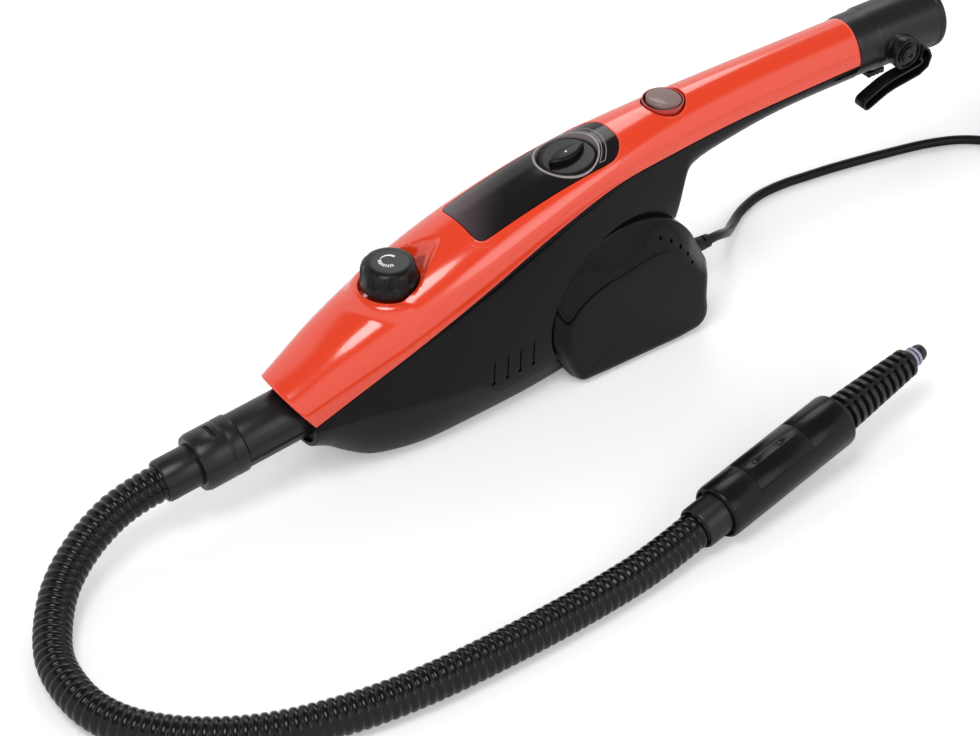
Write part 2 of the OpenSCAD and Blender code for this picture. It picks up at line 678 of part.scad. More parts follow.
module switch_body() color([0.15, 0.15, 0.15]) translate([switch_x, 0, 0]) difference() {
    union() {
        translate([0, 0, switch_seat]) cylinder(h = 1.5, r = switch_r + switch_lip - clear);
        translate([0, 0, switch_seat - 18]) cylinder(h = 18.2, r = switch_r - 1.3);
        for (x = [-5, 0, 5]) translate([x - 0.4, -2.4, switch_seat - 26]) cube([0.8, 4.8, 9]);
    }
    translate([-3.4, -5, switch_seat - 4]) cube([6.8, 10, 20]);
    translate([0, 0, pivot_z]) rotate([90, 0, 0]) cylinder(h = 14.6, r = 1.56, center = true);
    translate([-1.56, -7.3, pivot_z]) cube([3.12, 14.6, 8]);
}

module circuit_board() color([0.1, 0.35, 0.2]) {
    translate([rail_x + 2, -board_w / 2, rail_z]) cube([rail_len - 4, board_w, 1.6]);
    translate([rail_x + 8, -8, rail_z + 1.5]) cube([14, 12, 8]);
    translate([rail_x + 30, -10, rail_z + 1.5]) cube([10, 6, 5]);
    translate([rail_x + 30, 6, rail_z + 1.5]) cylinder(h = 10, r = 4);
    translate([rail_x + 48, 0, rail_z + 1.5]) cylinder(h = 7, r = 4);
}

// ---------- boiler ----------

boiler_x = pod_front + 24;
boiler_z = 42;
boiler_r = boiler_d / 2;
boiler_end = boiler_x + boiler_len;
module along_x(x, y, z) {
    translate([x, y, z]) rotate([0, 90, 0]) children();
}
module boiler_casting() color([0.7, 0.7, 0.72]) difference() {
    union() {
        along_x(boiler_x, 0, boiler_z) rotate_extrude() polygon([
            [0, 0], [boiler_r - 4, 0], [boiler_r - 1, 3], [boiler_r - 1, 20], [boiler_r, 20.5],
            [boiler_r, 24], [boiler_r - 1, 24.5], [boiler_r - 1, boiler_len - 24.5],
            [boiler_r, boiler_len - 24],
            [boiler_r, boiler_len - 20.5], [boiler_r - 1, boiler_len - 20], [boiler_r - 1, boiler_len - 3],
            [boiler_r - 4, boiler_len], [0, boiler_len]]);
        translate([boiler_x + 32, 0, boiler_z]) cylinder(h = boiler_r + 3, r = 9.5);
        translate([boiler_x + 58, 0, boiler_z]) cylinder(h = boiler_r + 3, r = 6);
        along_x(boiler_x - 8, -10, boiler_z - 8) cylinder(h = 10, r = 4.5);
        along_x(boiler_x - 8, 8, boiler_z + 12) cylinder(h = 10, r = 5);
    }
    along_x(boiler_x - 10, -10, boiler_z - 8) cylinder(h = 24, r = 1.8);
    along_x(boiler_x - 10, 8, boiler_z + 12) cylinder(h = 24, r = 2.2);
    for (y = [-13, 13]) along_x(boiler_end - 66, y, boiler_z) cylinder(h = 80, r = 4.05);
}
module heater_element() color([0.55, 0.5, 0.45]) for (y = [-13, 13]) {
    along_x(boiler_end - 66, y, boiler_z) cylinder(h = 72, r = 4);
    along_x(boiler_end + 5, y, boiler_z) cylinder(h = 8, r = 1.2);
}
module boiler_mounts() color([0.25, 0.25, 0.25]) for (x = [boiler_x + 6, boiler_end - 14]) difference() {
    translate([x, -20, wall]) cube([8, 40, boiler_z - 14]);
    along_x(x - 1, 0, boiler_z) cylinder(h = 12, r = boiler_r - 1);
    translate([x - 1, -11, wall + 4]) cube([10, 22, 4]);
}
module thermostat() color([0.8, 0.75, 0.6]) translate([boiler_x + 32, 0, boiler_z + boiler_r + 3]) {
    cylinder(h = 2, r = 9);
    cylinder(h = 7, r = 7);
    for (y = [-5, 5]) translate([-0.4, y - 2, 6.9]) cube([0.8, 4, 6]);
}
module thermal_fuse() color([0.8, 0.8, 0.85]) translate([boiler_x + 58, 0, boiler_z + boiler_r + 3]) {
    translate([-5, -4, 0]) cube([10, 8, 1.2]);
    translate([0, 0, 3.1]) rotate([90, 0, 0]) cylinder(h = 16, r = 2, center = true);
}

// ---------- pump ----------

pump_x = -100;
pump_z = 36;
module pump_body() color([0.75, 0.72, 0.62]) along_x(pump_x, 0, pump_z) rotate_extrude() polygon([
    [1.4, -40], [3.4, -40], [3.4, -32], [6, -31], [6, -29], [11, -29], [11, -18], [9, -18], [9, 18],
    [12, 18], [12, 27], [6, 27], [6, 30], [3.4, 31], [3.4, 39], [1.4, 39]]);
module pump_coil() color([0.6, 0.3, 0.15]) difference() {
    translate([pump_x - 17.5, -16, pump_z - 14]) cube([35, 32, 28]);
    along_x(pump_x - 20, 0, pump_z) cylinder(h = 40, r = 9);
    for (s = [-1, 1]) translate([pump_x - 13, s * 16 - 2, pump_z - 11]) cube([26, 4, 22]);
}
module pump_mounts() color([0.1, 0.1, 0.1]) for (at = [[-27, 11], [21, 12]]) difference() {
    union() {
        translate([pump_x + at[0], -10, wall + 0.6]) cube([6, 20, 18]);
        along_x(pump_x + at[0], 0, pump_z) cylinder(h = 6, r = 17);
    }
    along_x(pump_x + at[0] - 1, 0, pump_z) cylinder(h = 8, r = at[1]);
    translate([pump_x + at[0] - 1, -40, -1]) cube([8, 80, wall + 1.6]);
}

// ---------- tubes ----------

// A round tube along a list of points; ref is a direction it never follows
module tube(path, r, n, ref, bore = 0) {
    k = len(path);
    rings = [for (i = [0:k - 1])
        let (d = path[min(k - 1, i + 1)] - path[max(0, i - 1)], s0 = cross(d, ref),
             s = s0 / norm(s0), u0 = cross(s, d), u = u0 / norm(u0))
        each [for (j = [0:n - 1]) path[i] + r * (cos(360 * j / n) * s + sin(360 * j / n) * u)]];
    inner = [for (i = [0:k - 1], j = [0:n - 1]) mix(path[i], rings[i * n + j], bore / r)];
    last = (k - 1) * n;
    c = k * n;
    sides = [for (i = [0:k - 2], j = [0:n - 1])
        let (a = i * n + j, b = i * n + (j + 1) % n) each [[a, b, b + n], [a, b + n, a + n]]];
    lining = [for (f = sides) [f[0] + c, f[2] + c, f[1] + c]];
    rims = [for (j = [0:n - 1]) let (q = (j + 1) % n) each [
        [j, c + j, c + q], [j, c + q, q],
        [last + j, last + q, c + last + q], [last + j, c + last + q, c + last + j]]];
    fans = [for (j = [0:n - 1]) let (q = (j + 1) % n) each [[c, q, j], [c + 1, last + j, last + q]]];
    if (bore > 0) polyhedron(concat(rings, inner), concat(sides, lining, rims), convexity = 10);
    else polyhedron(concat(rings, [path[0], path[k - 1]]), concat(sides, fans), convexity = 10);
}
tube_r = 3.6;
suction_path = [
    [outlet_x, 0, tank_floor - 8], [outlet_x, 0, tank_floor - 20], [-41, 0, 70], [-38, 0, 60],
    [-37, 0, 50], [-41, 0, 41], [-50, 0, pump_z], [pump_x + 32, 0, pump_z]];
module suction_tube() color([0.8, 0.8, 0.8]) tube(suction_path, tube_r + 1.4, 8, [0, 1, 0], tube_r - 0.4);
feed_path = [
    [pump_x - 32, 0, pump_z], [pump_x - 44, 0, pump_z], [-150, -3, 40], [-154, -10, 48], [-150, -18, 56],
    [-138, -21, 60], [-110, -22, 62], [-70, -20, 62], [-40, -16, 56], [-20, -12, 42],
    [-14, -10, boiler_z - 8], [boiler_x - 1, -10, boiler_z - 8]];
module feed_tube() color([0.85, 0.85, 0.85]) tube(feed_path, tube_r + 1.4, 8, [0.3, 1, 0.2], tube_r - 0.4);
steam_path = [
    [boiler_x - 1, 8, boiler_z + 12], [-14, 8, boiler_z + 12], [-34, 14, 58], [-60, 20, 64], [-100, 20, 66],
    [-130, 16, 64], [-150, 8, 58], [-166, 3, 53], [-182, 0, 49.5]];
module steam_pipe() color([0.8, 0.3, 0.2]) tube(steam_path, 5.6, 8, [0, 0, 1], 3);

// ---------- nose and steam hose ----------

module at_nose() {
    translate([nose_x, 0, nose_z]) rotate([0, -90 - nose_tilt, 0]) children();
}
spout_r = spout_d / 2;
collar_r = collar_d / 2;
cuff_r = cuff_d / 2;
hose_r = hose_d / 2;
spout_back = nose_x - belly_front - 6;
module spout() color([0.08, 0.08, 0.08]) at_nose() {
    rotate_extrude() polygon([
        [4, spout_back], [spout_r, spout_back], [spout_r, -0.6], [spout_r - 0.6, 0], [9, 0], [9, 18], [4, 18]]);
    translate([-4, -spout_r - 0.6, spout_back + 9]) cube([1.2, 3, -spout_back - 10]);
}
module hose_collar() color([0.07, 0.07, 0.07]) at_nose() difference() {
    end = hose_collar_len;
    rotate_extrude() polygon([
        [9.1, 0], [collar_r - 0.8, 0], [collar_r, 0.8], [collar_r, 8], [collar_r - 0.6, 8.5],
        [collar_r - 0.6, 9.5], [collar_r, 10], [collar_r, end - 3], [collar_r - 1, end],
        [cuff_r + 0.1, end], [cuff_r + 0.1, end - 8], [9.1, end - 8]]);
    translate([collar_r - 2, -7, 14]) cube([6, 14, 3]);
}
module cuff(start, length) {
    rotate_extrude() polygon([
        [hose_r - 0.15, start], [cuff_r, start], [cuff_r, start + length - 1.5], [cuff_r - 0.8, start + length],
        [hose_r + 0.6, start + length], [hose_r - 0.15, start + length - 1.5]]);
}
module hose_cuff() color([0.05, 0.05, 0.05]) at_nose() cuff(hose_collar_len - 8, cuff_len + 8);

module spout_seal() color([0.1, 0.1, 0.1]) difference() {
    x = belly_front + 3;
    low = [for (q = steps(180, 360, 14)) let (p = skin(x, q, wall + 0.5)) [p[1], p[2]]];
    high = [for (q = steps(6, 174, 12)) [-(half(x) - wall - 2) * cos(q), split(x) + 22 * sin(q)]];
    translate([x, 0, 0]) rotate([90, 0, 90]) linear_extrude(2.5) polygon(concat(high, low));
    at_nose() translate([0, 0, -80]) cylinder(h = 80, r = spout_r);
}

grip_at = [-27, -202, 16.5];
grip_yaw = 8;
grip_pitch = 6;
module at_grip() {
    translate(grip_at) rotate([0, 90 - grip_pitch, grip_yaw]) children();
}
nose_way = [-cos(nose_tilt), 0, -sin(nose_tilt)];
grip_way = [cos(grip_pitch) * cos(grip_yaw), cos(grip_pitch) * sin(grip_yaw), sin(grip_pitch)];
hose_start = [nose_x, 0, nose_z] + nose_way * (hose_collar_len + cuff_len);
// The bend that leaves the nose, as x from the cuff's end, y and z
hose_bend = [[-12, 0, 37], [-25, -1, 35], [-38, -4, 33], [-62, -13, 26.5], [-84, -28, 19.5],
    [-100, -48, 14.4], [-111, -71, 12.4], [-114, -95, 12]];
hose_path = concat(
    [hose_start - nose_way * 20, hose_start],
    [for (p = hose_bend) [hose_start[0] + p[0], p[1], p[2]]],
    [[-395, -118, 12], [-385, -140, 12], [-369, -159, 12], [-346, -177, 12], [-319, -191, 12],
    [-288, -201, 12], [-256, -207.5, 12], [-222, -211, 12], [-181, -212.4, 12],
    [-134, -212, 12], [-95, -210, 12], [-72, -208, 12.4], [-50, -205.2, 13.9]],
    [grip_at, grip_at + grip_way * 14]);
module steam_hose() color([0.09, 0.09, 0.09]) tube(hose_path, hose_r, 12, [0, 0, 1], hose_bore / 2);

// ---------- hose grip ----------

grip_r = grip_d / 2;
grip_start = grip_cuff_len;
grip_end = grip_start + grip_len;
lip = 5.5;
cavity_r = grip_r - 3.4;
panel_from = grip_start + 25;
panel_len = 49;
panel_half = 53;
panel_floor = grip_r - 1.9;
grip_screw_at = [grip_start + 35.5, grip_start + 57.5];
module band(r1, r2, z, h, angle) {
    rotate([0, 0, 180 - angle]) rotate_extrude(angle = 2 * angle) translate([r1, z]) square([r2 - r1, h]);
}
module on_top(s, from, length, r) {
    translate([-from, 0, s]) rotate([0, -90, 0]) cylinder(h = length, r = r);
}
module grip_cuff() color([0.05, 0.05, 0.05]) at_grip() {
    mirror([0, 0, 1]) translate([0, 0, -lip - grip_start]) cuff(0, lip + grip_start);
    difference() {
        translate([0, 0, grip_start + lip]) cylinder(h = 2.5, r = cavity_r - 0.2);
        translate([0, 0, grip_start]) cylinder(h = 20, r = hose_r - 0.15);
    }
}
module grip_body() color([0.07, 0.07, 0.07]) at_grip() difference() {
    union() {
        rotate_extrude() polygon([
            [cuff_r + 0.2, grip_start + 3], [grip_r - 2.2, grip_start + 3], [grip_r - 2.2, grip_start],
            [grip_r - 1.2, grip_start], [grip_r - 0.3, grip_start + 1.2], [grip_r, grip_start + 3.5],
            [grip_r, grip_end - 3], [grip_r - 0.5, grip_end - 1], [grip_r - 2, grip_end],
            [cage_d1 / 2 + 0.3, grip_end], [cage_d1 / 2 + 0.3, grip_end - 3], [cavity_r, grip_end - 3],
            [cavity_r, grip_start + lip], [cuff_r + 0.2, grip_start + lip]]);
        for (s = grip_screw_at) on_top(s, 9, panel_floor - 9.2, 3);
    }
    band(panel_floor, grip_r + 2, panel_from, panel_len, panel_half);
    for (s = grip_screw_at) on_top(s, 8, 20, 1.05);
}
module grip_panel() color([0.08, 0.08, 0.08]) at_grip() difference() {
    band(panel_floor, grip_r, panel_from + clear, panel_len - 2 * clear, panel_half - 1);
    for (s = grip_screw_at) {
        on_top(s, 8, 20, 1.05);
        on_top(s, panel_floor + 0.9, 10, 2);
    }
}
module grip_screws() color([0.2, 0.2, 0.2]) at_grip() for (s = grip_screw_at) {
    on_top(s, 9.6, panel_floor - 8.6, 1);
    on_top(s, panel_floor + 0.9, 0.7, 1.8);
}
module grip_nozzle() color([0.06, 0.06, 0.06]) at_grip() {
    pitch = (cage_len - 2) / (cage_rings - 0.5);
    rib = pitch * 0.45;
    core1 = cage_d1 / 2 - 4;
    core2 = cage_d2 / 2 - 3.6;
    difference() {
        union() {
            translate([0, 0, grip_end - 6]) cylinder(h = 3, r = cavity_r - 0.2);
            translate([0, 0, grip_end - 4]) cylinder(h = cage_len + 2, r1 = core1, r2 = core2);
            for (i = [0:cage_rings - 1]) {
                r = mix(cage_d1, cage_d2, i / (cage_rings - 1)) / 2;
                translate([0, 0, grip_end + i * pitch]) cylinder(h = rib, r = r);
            }
            intersection() {
                translate([0, 0, grip_end - 1])
                    cylinder(h = cage_len - 2, r1 = cage_d1 / 2 - 0.6, r2 = cage_d2 / 2 - 0.6);
                for (q = [0, 90]) rotate([0, 0, q + 20])
                    translate([-20, -1, grip_end - 2]) cube([40, 2, cage_len]);
            }
            translate([0, 0, grip_end + cage_len - 4]) rotate_extrude() polygon([
                [0, 0], [core2, 0], [core2, 2], [spigot_d / 2 - 0.8, 3], [spigot_d / 2 - 0.8, 4.4],
                [spigot_d / 2, 4.9],
                [spigot_d / 2, spigot_len + 1.5], [spigot_d / 2 - 0.9, spigot_len + 4], [0, spigot_len + 4]]);
        }
        translate([0, 0, grip_end - 8]) cylinder(h = cage_len + spigot_len + 20, r = 2);
        for (s = ring_at) translate([0, 0, s]) difference() {
            cylinder(h = 2.2, r = spigot_d);
            cylinder(h = 2.2, r = spigot_d / 2 - 1);
        }
    }
}
ring_at = [grip_end + cage_len + 1.6, grip_end + cage_len + 4.8];
module nozzle_rings() color([0.6, 0.62, 0.7]) at_grip() for (s = ring_at)
    translate([0, 0, s + 1.1]) rotate_extrude() translate([spigot_d / 2 - 0.02, 0]) circle(1, $fn = 24);

// ---------- power lead ----------

lead_r = lead_d / 2;
lead_z = lead_r + 0.2;
pod_wall_x = pod_back - wall;
module strain_relief() color([0.06, 0.06, 0.06]) along_x(0, 0, relief_z) difference() {
    rotate_extrude() polygon([
        [lead_r, pod_wall_x - 3], [10, pod_wall_x - 3], [10, pod_wall_x], [relief_r - 0.7, pod_wall_x],
        [relief_r - 0.7, pod_back + 0.1], [relief_r + 1.2, pod_back + 0.1], [relief_r + 1.2, pod_back + 2],
        [relief_r - 0.3, pod_back + 3], [lead_r + 1.2, pod_back + relief_len],
        [lead_r, pod_back + relief_len]]);
    for (i = [0:3]) translate([i % 2 == 0 ? 3 : -12, -9, pod_back + 7 + 4.4 * i]) cube([9, 18, 1.6]);
}
module cord_clamp() color([0.2, 0.2, 0.2]) difference() {
    translate([pod_wall_x - 12, -11, relief_z - 8]) cube([9, 22, 16]);
    along_x(pod_wall_x - 14, 0, relief_z) cylinder(h = 20, r = lead_r);
}
coil_at = [486, -20];
coil_low = 1.8;
coil_half_w = 14;
coil_high = 35;
lead_path = [
    [pod_wall_x - 16, 0, relief_z], [pod_back + relief_len - 4, 0, relief_z], [152, 3, 36], [164, 10, 28],
    [175, 20, 17], [186, 32, 8], [200, 43, lead_z], [222, 53, lead_z], [248, 56.5, lead_z], [276, 54, lead_z],
    [303, 51, lead_z], [345, 43, lead_z], [386, 33, lead_z], [410, 25.5, lead_z], [427, 13, lead_z],
    [434, -3, lead_z], [436, -20, lead_z]];
module power_lead() color([0.05, 0.05, 0.05]) tube(lead_path, lead_r, 8, [0, 0, 1]);
module coil_section(w) {
    round = 6;
    translate([-w, round]) square([2 * w, coil_high - 2 * round]);
    translate([round - w, 0]) square([2 * w - 2 * round, coil_high]);
    for (x = [round - w, w - round], z = [round, coil_high - round]) translate([x, z]) circle(round);
}
module lead_coil() color([0.05, 0.05, 0.05]) translate([coil_at[0], coil_at[1], coil_low])
    rotate_extrude() translate([coil_d / 2, 0]) coil_section(coil_half_w);
tie_t = 1.4;
tie_room = 0.5;
module coil_tie() color([0.15, 0.15, 0.15])
    translate([coil_at[0] + coil_d / 2, coil_at[1], coil_low]) difference() {
    w = coil_half_w + tie_room;
    translate([-w - tie_t, -4, -tie_t]) cube([2 * w + 2 * tie_t, 8, coil_high + 2 * tie_t]);
    rotate([90, 0, 0]) linear_extrude(20, center = true) coil_section(w);
}
plug_top = coil_low + coil_high;
plug_at = [coil_at[0] - 40, coil_at[1], plug_top + 12];
module plug_body() color([0.06, 0.06, 0.06]) translate(plug_at) rotate([90, 0, 0]) difference() {
    translate([0, 0, -22]) rotate_extrude() polygon([
        [0, -14], [lead_r + 1, -14], [lead_r + 2.5, 0], [12, 4], [12, 30], [15.5, 34], [15.5, 40], [0, 40]]);
    translate([-20, -32, -60]) cube([40, 20, 120]);
    for (x = [-9.5, 9.5]) translate([x, 0, 8]) cylinder(h = 12, r = 2.4);
    translate([0, 0, 14]) difference() {
        cylinder(h = 6, r = 13.5);
        translate([0, 0, -1]) cylinder(h = 8, r = 12.4);
    }
}
module plug_pins() color("silver") translate(plug_at) rotate([90, 0, 0])
    for (x = [-9.5, 9.5]) translate([x, 0, 8]) {
    cylinder(h = 28, r = 2.4);
    translate([0, 0, 28]) cylinder(h = 1.2, r1 = 2.4, r2 = 1.4);
}

top_cover();
left_housing();
right_housing();
belly_cover();
left_boiler_cover();
right_boiler_cover();
pole_socket();
cord_hook();
hook_screw();
tube_latch();
latch_spring();
water_tank();
tank_cap();
cap_seal();
tank_outlet();
dial_knob();
dial_shaft();
steam_control();
switch_frame();
switch_rocker();
switch_boot();
switch_body();
circuit_board();
boiler_casting();
heater_element();
boiler_mounts();
thermostat();
thermal_fuse();
pump_body();
pump_coil();
pump_mounts();
suction_tube();
feed_tube();
steam_pipe();
spout();
spout_seal();
hose_collar();
hose_cuff();
steam_hose();
grip_cuff();
grip_body();
grip_panel();
grip_screws();
grip_nozzle();
nozzle_rings();
body_screws();
strain_relief();
cord_clamp();
power_lead();
lead_coil();
coil_tie();
plug_body();
plug_pins();
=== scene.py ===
import bpy, bmesh, json, math
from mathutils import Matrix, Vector


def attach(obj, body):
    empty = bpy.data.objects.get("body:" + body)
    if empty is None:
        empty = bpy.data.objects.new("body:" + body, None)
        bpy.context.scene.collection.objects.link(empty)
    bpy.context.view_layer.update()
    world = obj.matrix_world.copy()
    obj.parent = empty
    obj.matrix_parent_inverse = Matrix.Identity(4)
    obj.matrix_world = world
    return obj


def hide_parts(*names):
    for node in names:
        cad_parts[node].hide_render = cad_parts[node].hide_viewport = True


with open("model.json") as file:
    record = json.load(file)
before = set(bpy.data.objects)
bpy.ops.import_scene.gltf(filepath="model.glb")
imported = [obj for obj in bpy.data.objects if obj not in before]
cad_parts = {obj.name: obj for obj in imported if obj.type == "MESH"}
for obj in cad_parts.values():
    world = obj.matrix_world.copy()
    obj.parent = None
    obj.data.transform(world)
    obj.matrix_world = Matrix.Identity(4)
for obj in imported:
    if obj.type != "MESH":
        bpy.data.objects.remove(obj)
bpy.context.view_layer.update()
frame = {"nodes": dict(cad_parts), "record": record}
cadNodes = frame["nodes"]
bodyOf = {n: b for b, ns in frame["record"]["behaviour"]["bodies"].items() for n in ns}
slotOf = {s["node"]: s["material_slot"] for s in frame["record"]["subparts"]}
mm = 0.001
scene = bpy.context.scene

shot = {"place": (-0.7415, -1.0040, 1.0398), "towards": (0.4394, 0.6275, -0.6428), "lens": 89.05}


def makeCamera():
    data = bpy.data.cameras.new("camera")
    data.lens = shot["lens"]
    data.sensor_width = 36
    data.clip_start, data.clip_end = 0.05, 20
    cam = bpy.data.objects.new("camera", data)
    scene.collection.objects.link(cam)
    cam.location = shot["place"]
    cam.rotation_mode = "QUATERNION"
    cam.rotation_quaternion = Vector(shot["towards"]).to_track_quat("-Z", "Y")
    scene.camera = cam


makeCamera()
print("camera placed")


class Wire:
    # a socket that can stand in a sum
    def __init__(self, tree, socket):
        self.tree, self.socket = tree, socket

    def math(self, operation, a, b=0.0):
        return self.tree.add("ShaderNodeMath", {"operation": operation}, {0: a, 1: b})

    def __add__(self, other): return self.math("ADD", self, other)
    def __radd__(self, other): return self.math("ADD", other, self)
    def __sub__(self, other): return self.math("SUBTRACT", self, other)
    def __rsub__(self, other): return self.math("SUBTRACT", other, self)
    def __mul__(self, other): return self.math("MULTIPLY", self, other)
    def __truediv__(self, other): return self.math("DIVIDE", self, other)
    def __getitem__(self, name): return Wire(self.tree, self.socket.node.outputs[name])


class Tree:
    # adds a node: its settings first, then the values or links of its sockets
    def add(self, kind, settings=None, sockets=None, output=0):
        node = self.tree.nodes.new(kind)
        for key, value in (settings or {}).items():
            setattr(node, key, value)
        for key, value in (sockets or {}).items():
            self.join(value, node.inputs[key])
        return Wire(self, node.outputs[output]) if len(node.outputs) else None

    def join(self, value, socket):
        if isinstance(value, Wire):
            self.tree.links.new(value.socket, socket)
        elif isinstance(value, (tuple, list)) and len(value) == 3 and socket.type == "RGBA":
            socket.default_value = (*value, 1)
        else:
            socket.default_value = value


class Finish(Tree):
    def __init__(self, name):
        self.mat = bpy.data.materials.new(name)
        self.mat.use_nodes = True
        self.tree = self.mat.node_tree
        self.tree.nodes.clear()
        self.out = self.tree.nodes.new("ShaderNodeOutputMaterial")
        self.place = self.add("ShaderNodeTexCoord")["Object"]

    def grain(self, scale, detail=4, rough=0.5):
        return self.add("ShaderNodeTexNoise", None,
                        {"Vector": self.place, "Scale": scale, "Detail": detail, "Roughness": rough})

    def between(self, value, low, high):
        return self.add("ShaderNodeMapRange", {"interpolation_type": "SMOOTHSTEP"},
                        {"Value": value, "From Min": low, "From Max": high})

    def blend(self, a, b, amount):
        return self.add("ShaderNodeMix", {"data_type": "RGBA"}, {0: amount, 6: a, 7: b}, 2)

    def bump(self, height, strength, distance):
        return self.add("ShaderNodeBump", None,
                        {"Height": height, "Strength": strength, "Distance": distance})

    def shade(self, **sockets):
        names = {"color": "Base Color", "rough": "Roughness", "metal": "Metallic", "coat": "Coat Weight",
                 "coatRough": "Coat Roughness", "normal": "Normal", "alpha": "Alpha",
                 "specular": "Specular IOR Level", "glow": "Emission Color",
                 "glowStrength": "Emission Strength"}
        surface = self.add("ShaderNodeBsdfPrincipled", None, {names[k]: v for k, v in sockets.items()})
        self.tree.links.new(surface.socket, self.out.inputs["Surface"])
        return self.mat


def moulded(name, color, rough, coat=0.0, grainSize=900, grainDepth=0.12, tint=0.1, dust=0.0, shine=0.5):
    # moulded plastic: slow flow clouds, a fine grain and a few specks of dust
    f = Finish(name)
    cloud = f.grain(16, 3, 0.55)
    fine = f.grain(grainSize, 3, 0.6)
    base = f.blend(tuple(c * (1 - tint) for c in color), tuple(min(1, c * (1 + tint)) for c in color), cloud)
    if dust:
        specks = f.between(f.grain(2300, 2, 0.5), 0.70, 0.76)
        base = f.blend(base, tuple(min(1, c + dust) for c in color), specks * 0.6)
    return f.shade(color=base, rough=rough + (cloud - 0.5) * 0.1 + (fine - 0.5) * 0.05, coat=coat,
                   coatRough=0.04, specular=shine, normal=f.bump(fine, grainDepth, 0.00004))


def metal(name, color, rough):
    f = Finish(name)
    lines = f.grain(500, 3, 0.6)
    stain = f.grain(60, 3, 0.5)
    return f.shade(color=f.blend(tuple(c * 0.8 for c in color), color, stain), metal=1.0,
                   rough=rough + (lines - 0.5) * 0.15, normal=f.bump(lines, 0.15, 0.00003))


# colour, roughness, coat, grain size and depth, tint, dust, shine
plastics = {
    "orangeGloss": ((0.78, 0.045, 0.008), 0.17, 0.35, 700, 0.03, 0.03, 0.0, 0.75),
    # a darker copy of the cover orange: painted shade for the switch frame in its recess
    "orangeShaded": ((0.40, 0.018, 0.006), 0.2, 0.4, 700, 0.03, 0.05),
    "blackGloss": ((0.0035, 0.0035, 0.004), 0.15, 0.04, 700, 0.04, 0.15, 0.006, 0.11),
    "podGloss": ((0.003, 0.003, 0.003), 0.13, 0.12, 700, 0.04, 0.15, 0.006, 0.12),
    "blackSatin": ((0.010, 0.010, 0.010), 0.32, 0.0, 1400, 0.2, 0.15, 0.02, 0.35),
    "gripSatin": ((0.0045, 0.0045, 0.005), 0.26, 0.03, 1200, 0.12, 0.15, 0.01, 0.2),
    "dialBlack": ((0.006, 0.006, 0.0065), 0.3, 0.0, 1500, 0.2, 0.15, 0.01, 0.25),
    "hoseBlack": ((0.0035, 0.0035, 0.004), 0.18, 0.05, 900, 0.08, 0.2, 0.006, 0.25),
    "leadBlack": ((0.004, 0.004, 0.0045), 0.3, 0.0, 1200, 0.2, 0.2, 0.01, 0.2),
    "softBlack": ((0.008, 0.008, 0.008), 0.5, 0.0, 1600, 0.3, 0.2, 0.01, 0.25),
    "ringGrey": ((0.36, 0.37, 0.46), 0.35, 0.0, 1500, 0.2, 0.1),
    "markWhite": ((0.85, 0.85, 0.85), 0.4, 0.0, 1500, 0.1, 0.03),
    "innerBlack": ((0.03, 0.03, 0.03), 0.5),
    "innerPale": ((0.62, 0.6, 0.52), 0.45),
    "silicone": ((0.72, 0.72, 0.7), 0.4),
    "boardGreen": ((0.02, 0.13, 0.06), 0.35, 0.2)}
metals = {"coilBrass": ((0.55, 0.27, 0.1), 0.35),
          "castGrey": ((0.5, 0.5, 0.51), 0.45),
          "steel": ((0.6, 0.6, 0.6), 0.25)}
finishes = {name: moulded(name, *values) for name, values in plastics.items()}
finishes.update({name: metal(name, *values) for name, values in metals.items()})
# where the painted reflection lies on the tank window: its slant, waver and the range it fades over
tint = {"slant": 0.9, "waver": 0.012, "from": -0.080, "to": -0.022}


def smoked(name, color, alpha, rough, paintedReflection=None):
    # clear plastic with a tint: thin areas let the inside show through, and one end can be paler with a
    # painted reflection
    f = Finish(name)
    cloud = f.grain(14, 3, 0.5)
    base = f.blend(tuple(c * 0.8 for c in color), color, cloud)
    # painted reflection: a pale colour at one end that fades into the tint
    if paintedReflection:
        spot = f.add("ShaderNodeSeparateXYZ", None, {0: f.place})
        along = spot["X"] - spot["Y"] * tint["slant"] + (cloud - 0.5) * tint["waver"]
        base = f.blend(paintedReflection, base, f.between(along, tint["from"], tint["to"]))
    return f.shade(color=base, rough=rough + (cloud - 0.5) * 0.05, specular=0.3,
                   coat=0.1, coatRough=0.03, alpha=alpha + (cloud - 0.5) * 0.08,
                   normal=f.bump(f.grain(500, 2), 0.03, 0.00004))


# the tank's pale pinkish end is a painted reflection of the bright surroundings
finishes["smokedTank"] = smoked("smokedTank", (0.008, 0.007, 0.008), 0.92, 0.12, (0.11, 0.08, 0.09))
finishes["clearRing"] = smoked("clearRing", (0.50, 0.43, 0.43), 0.62, 0.12)
finishes["clearBoot"] = smoked("clearBoot", (0.30, 0.20, 0.18), 0.75, 0.14)


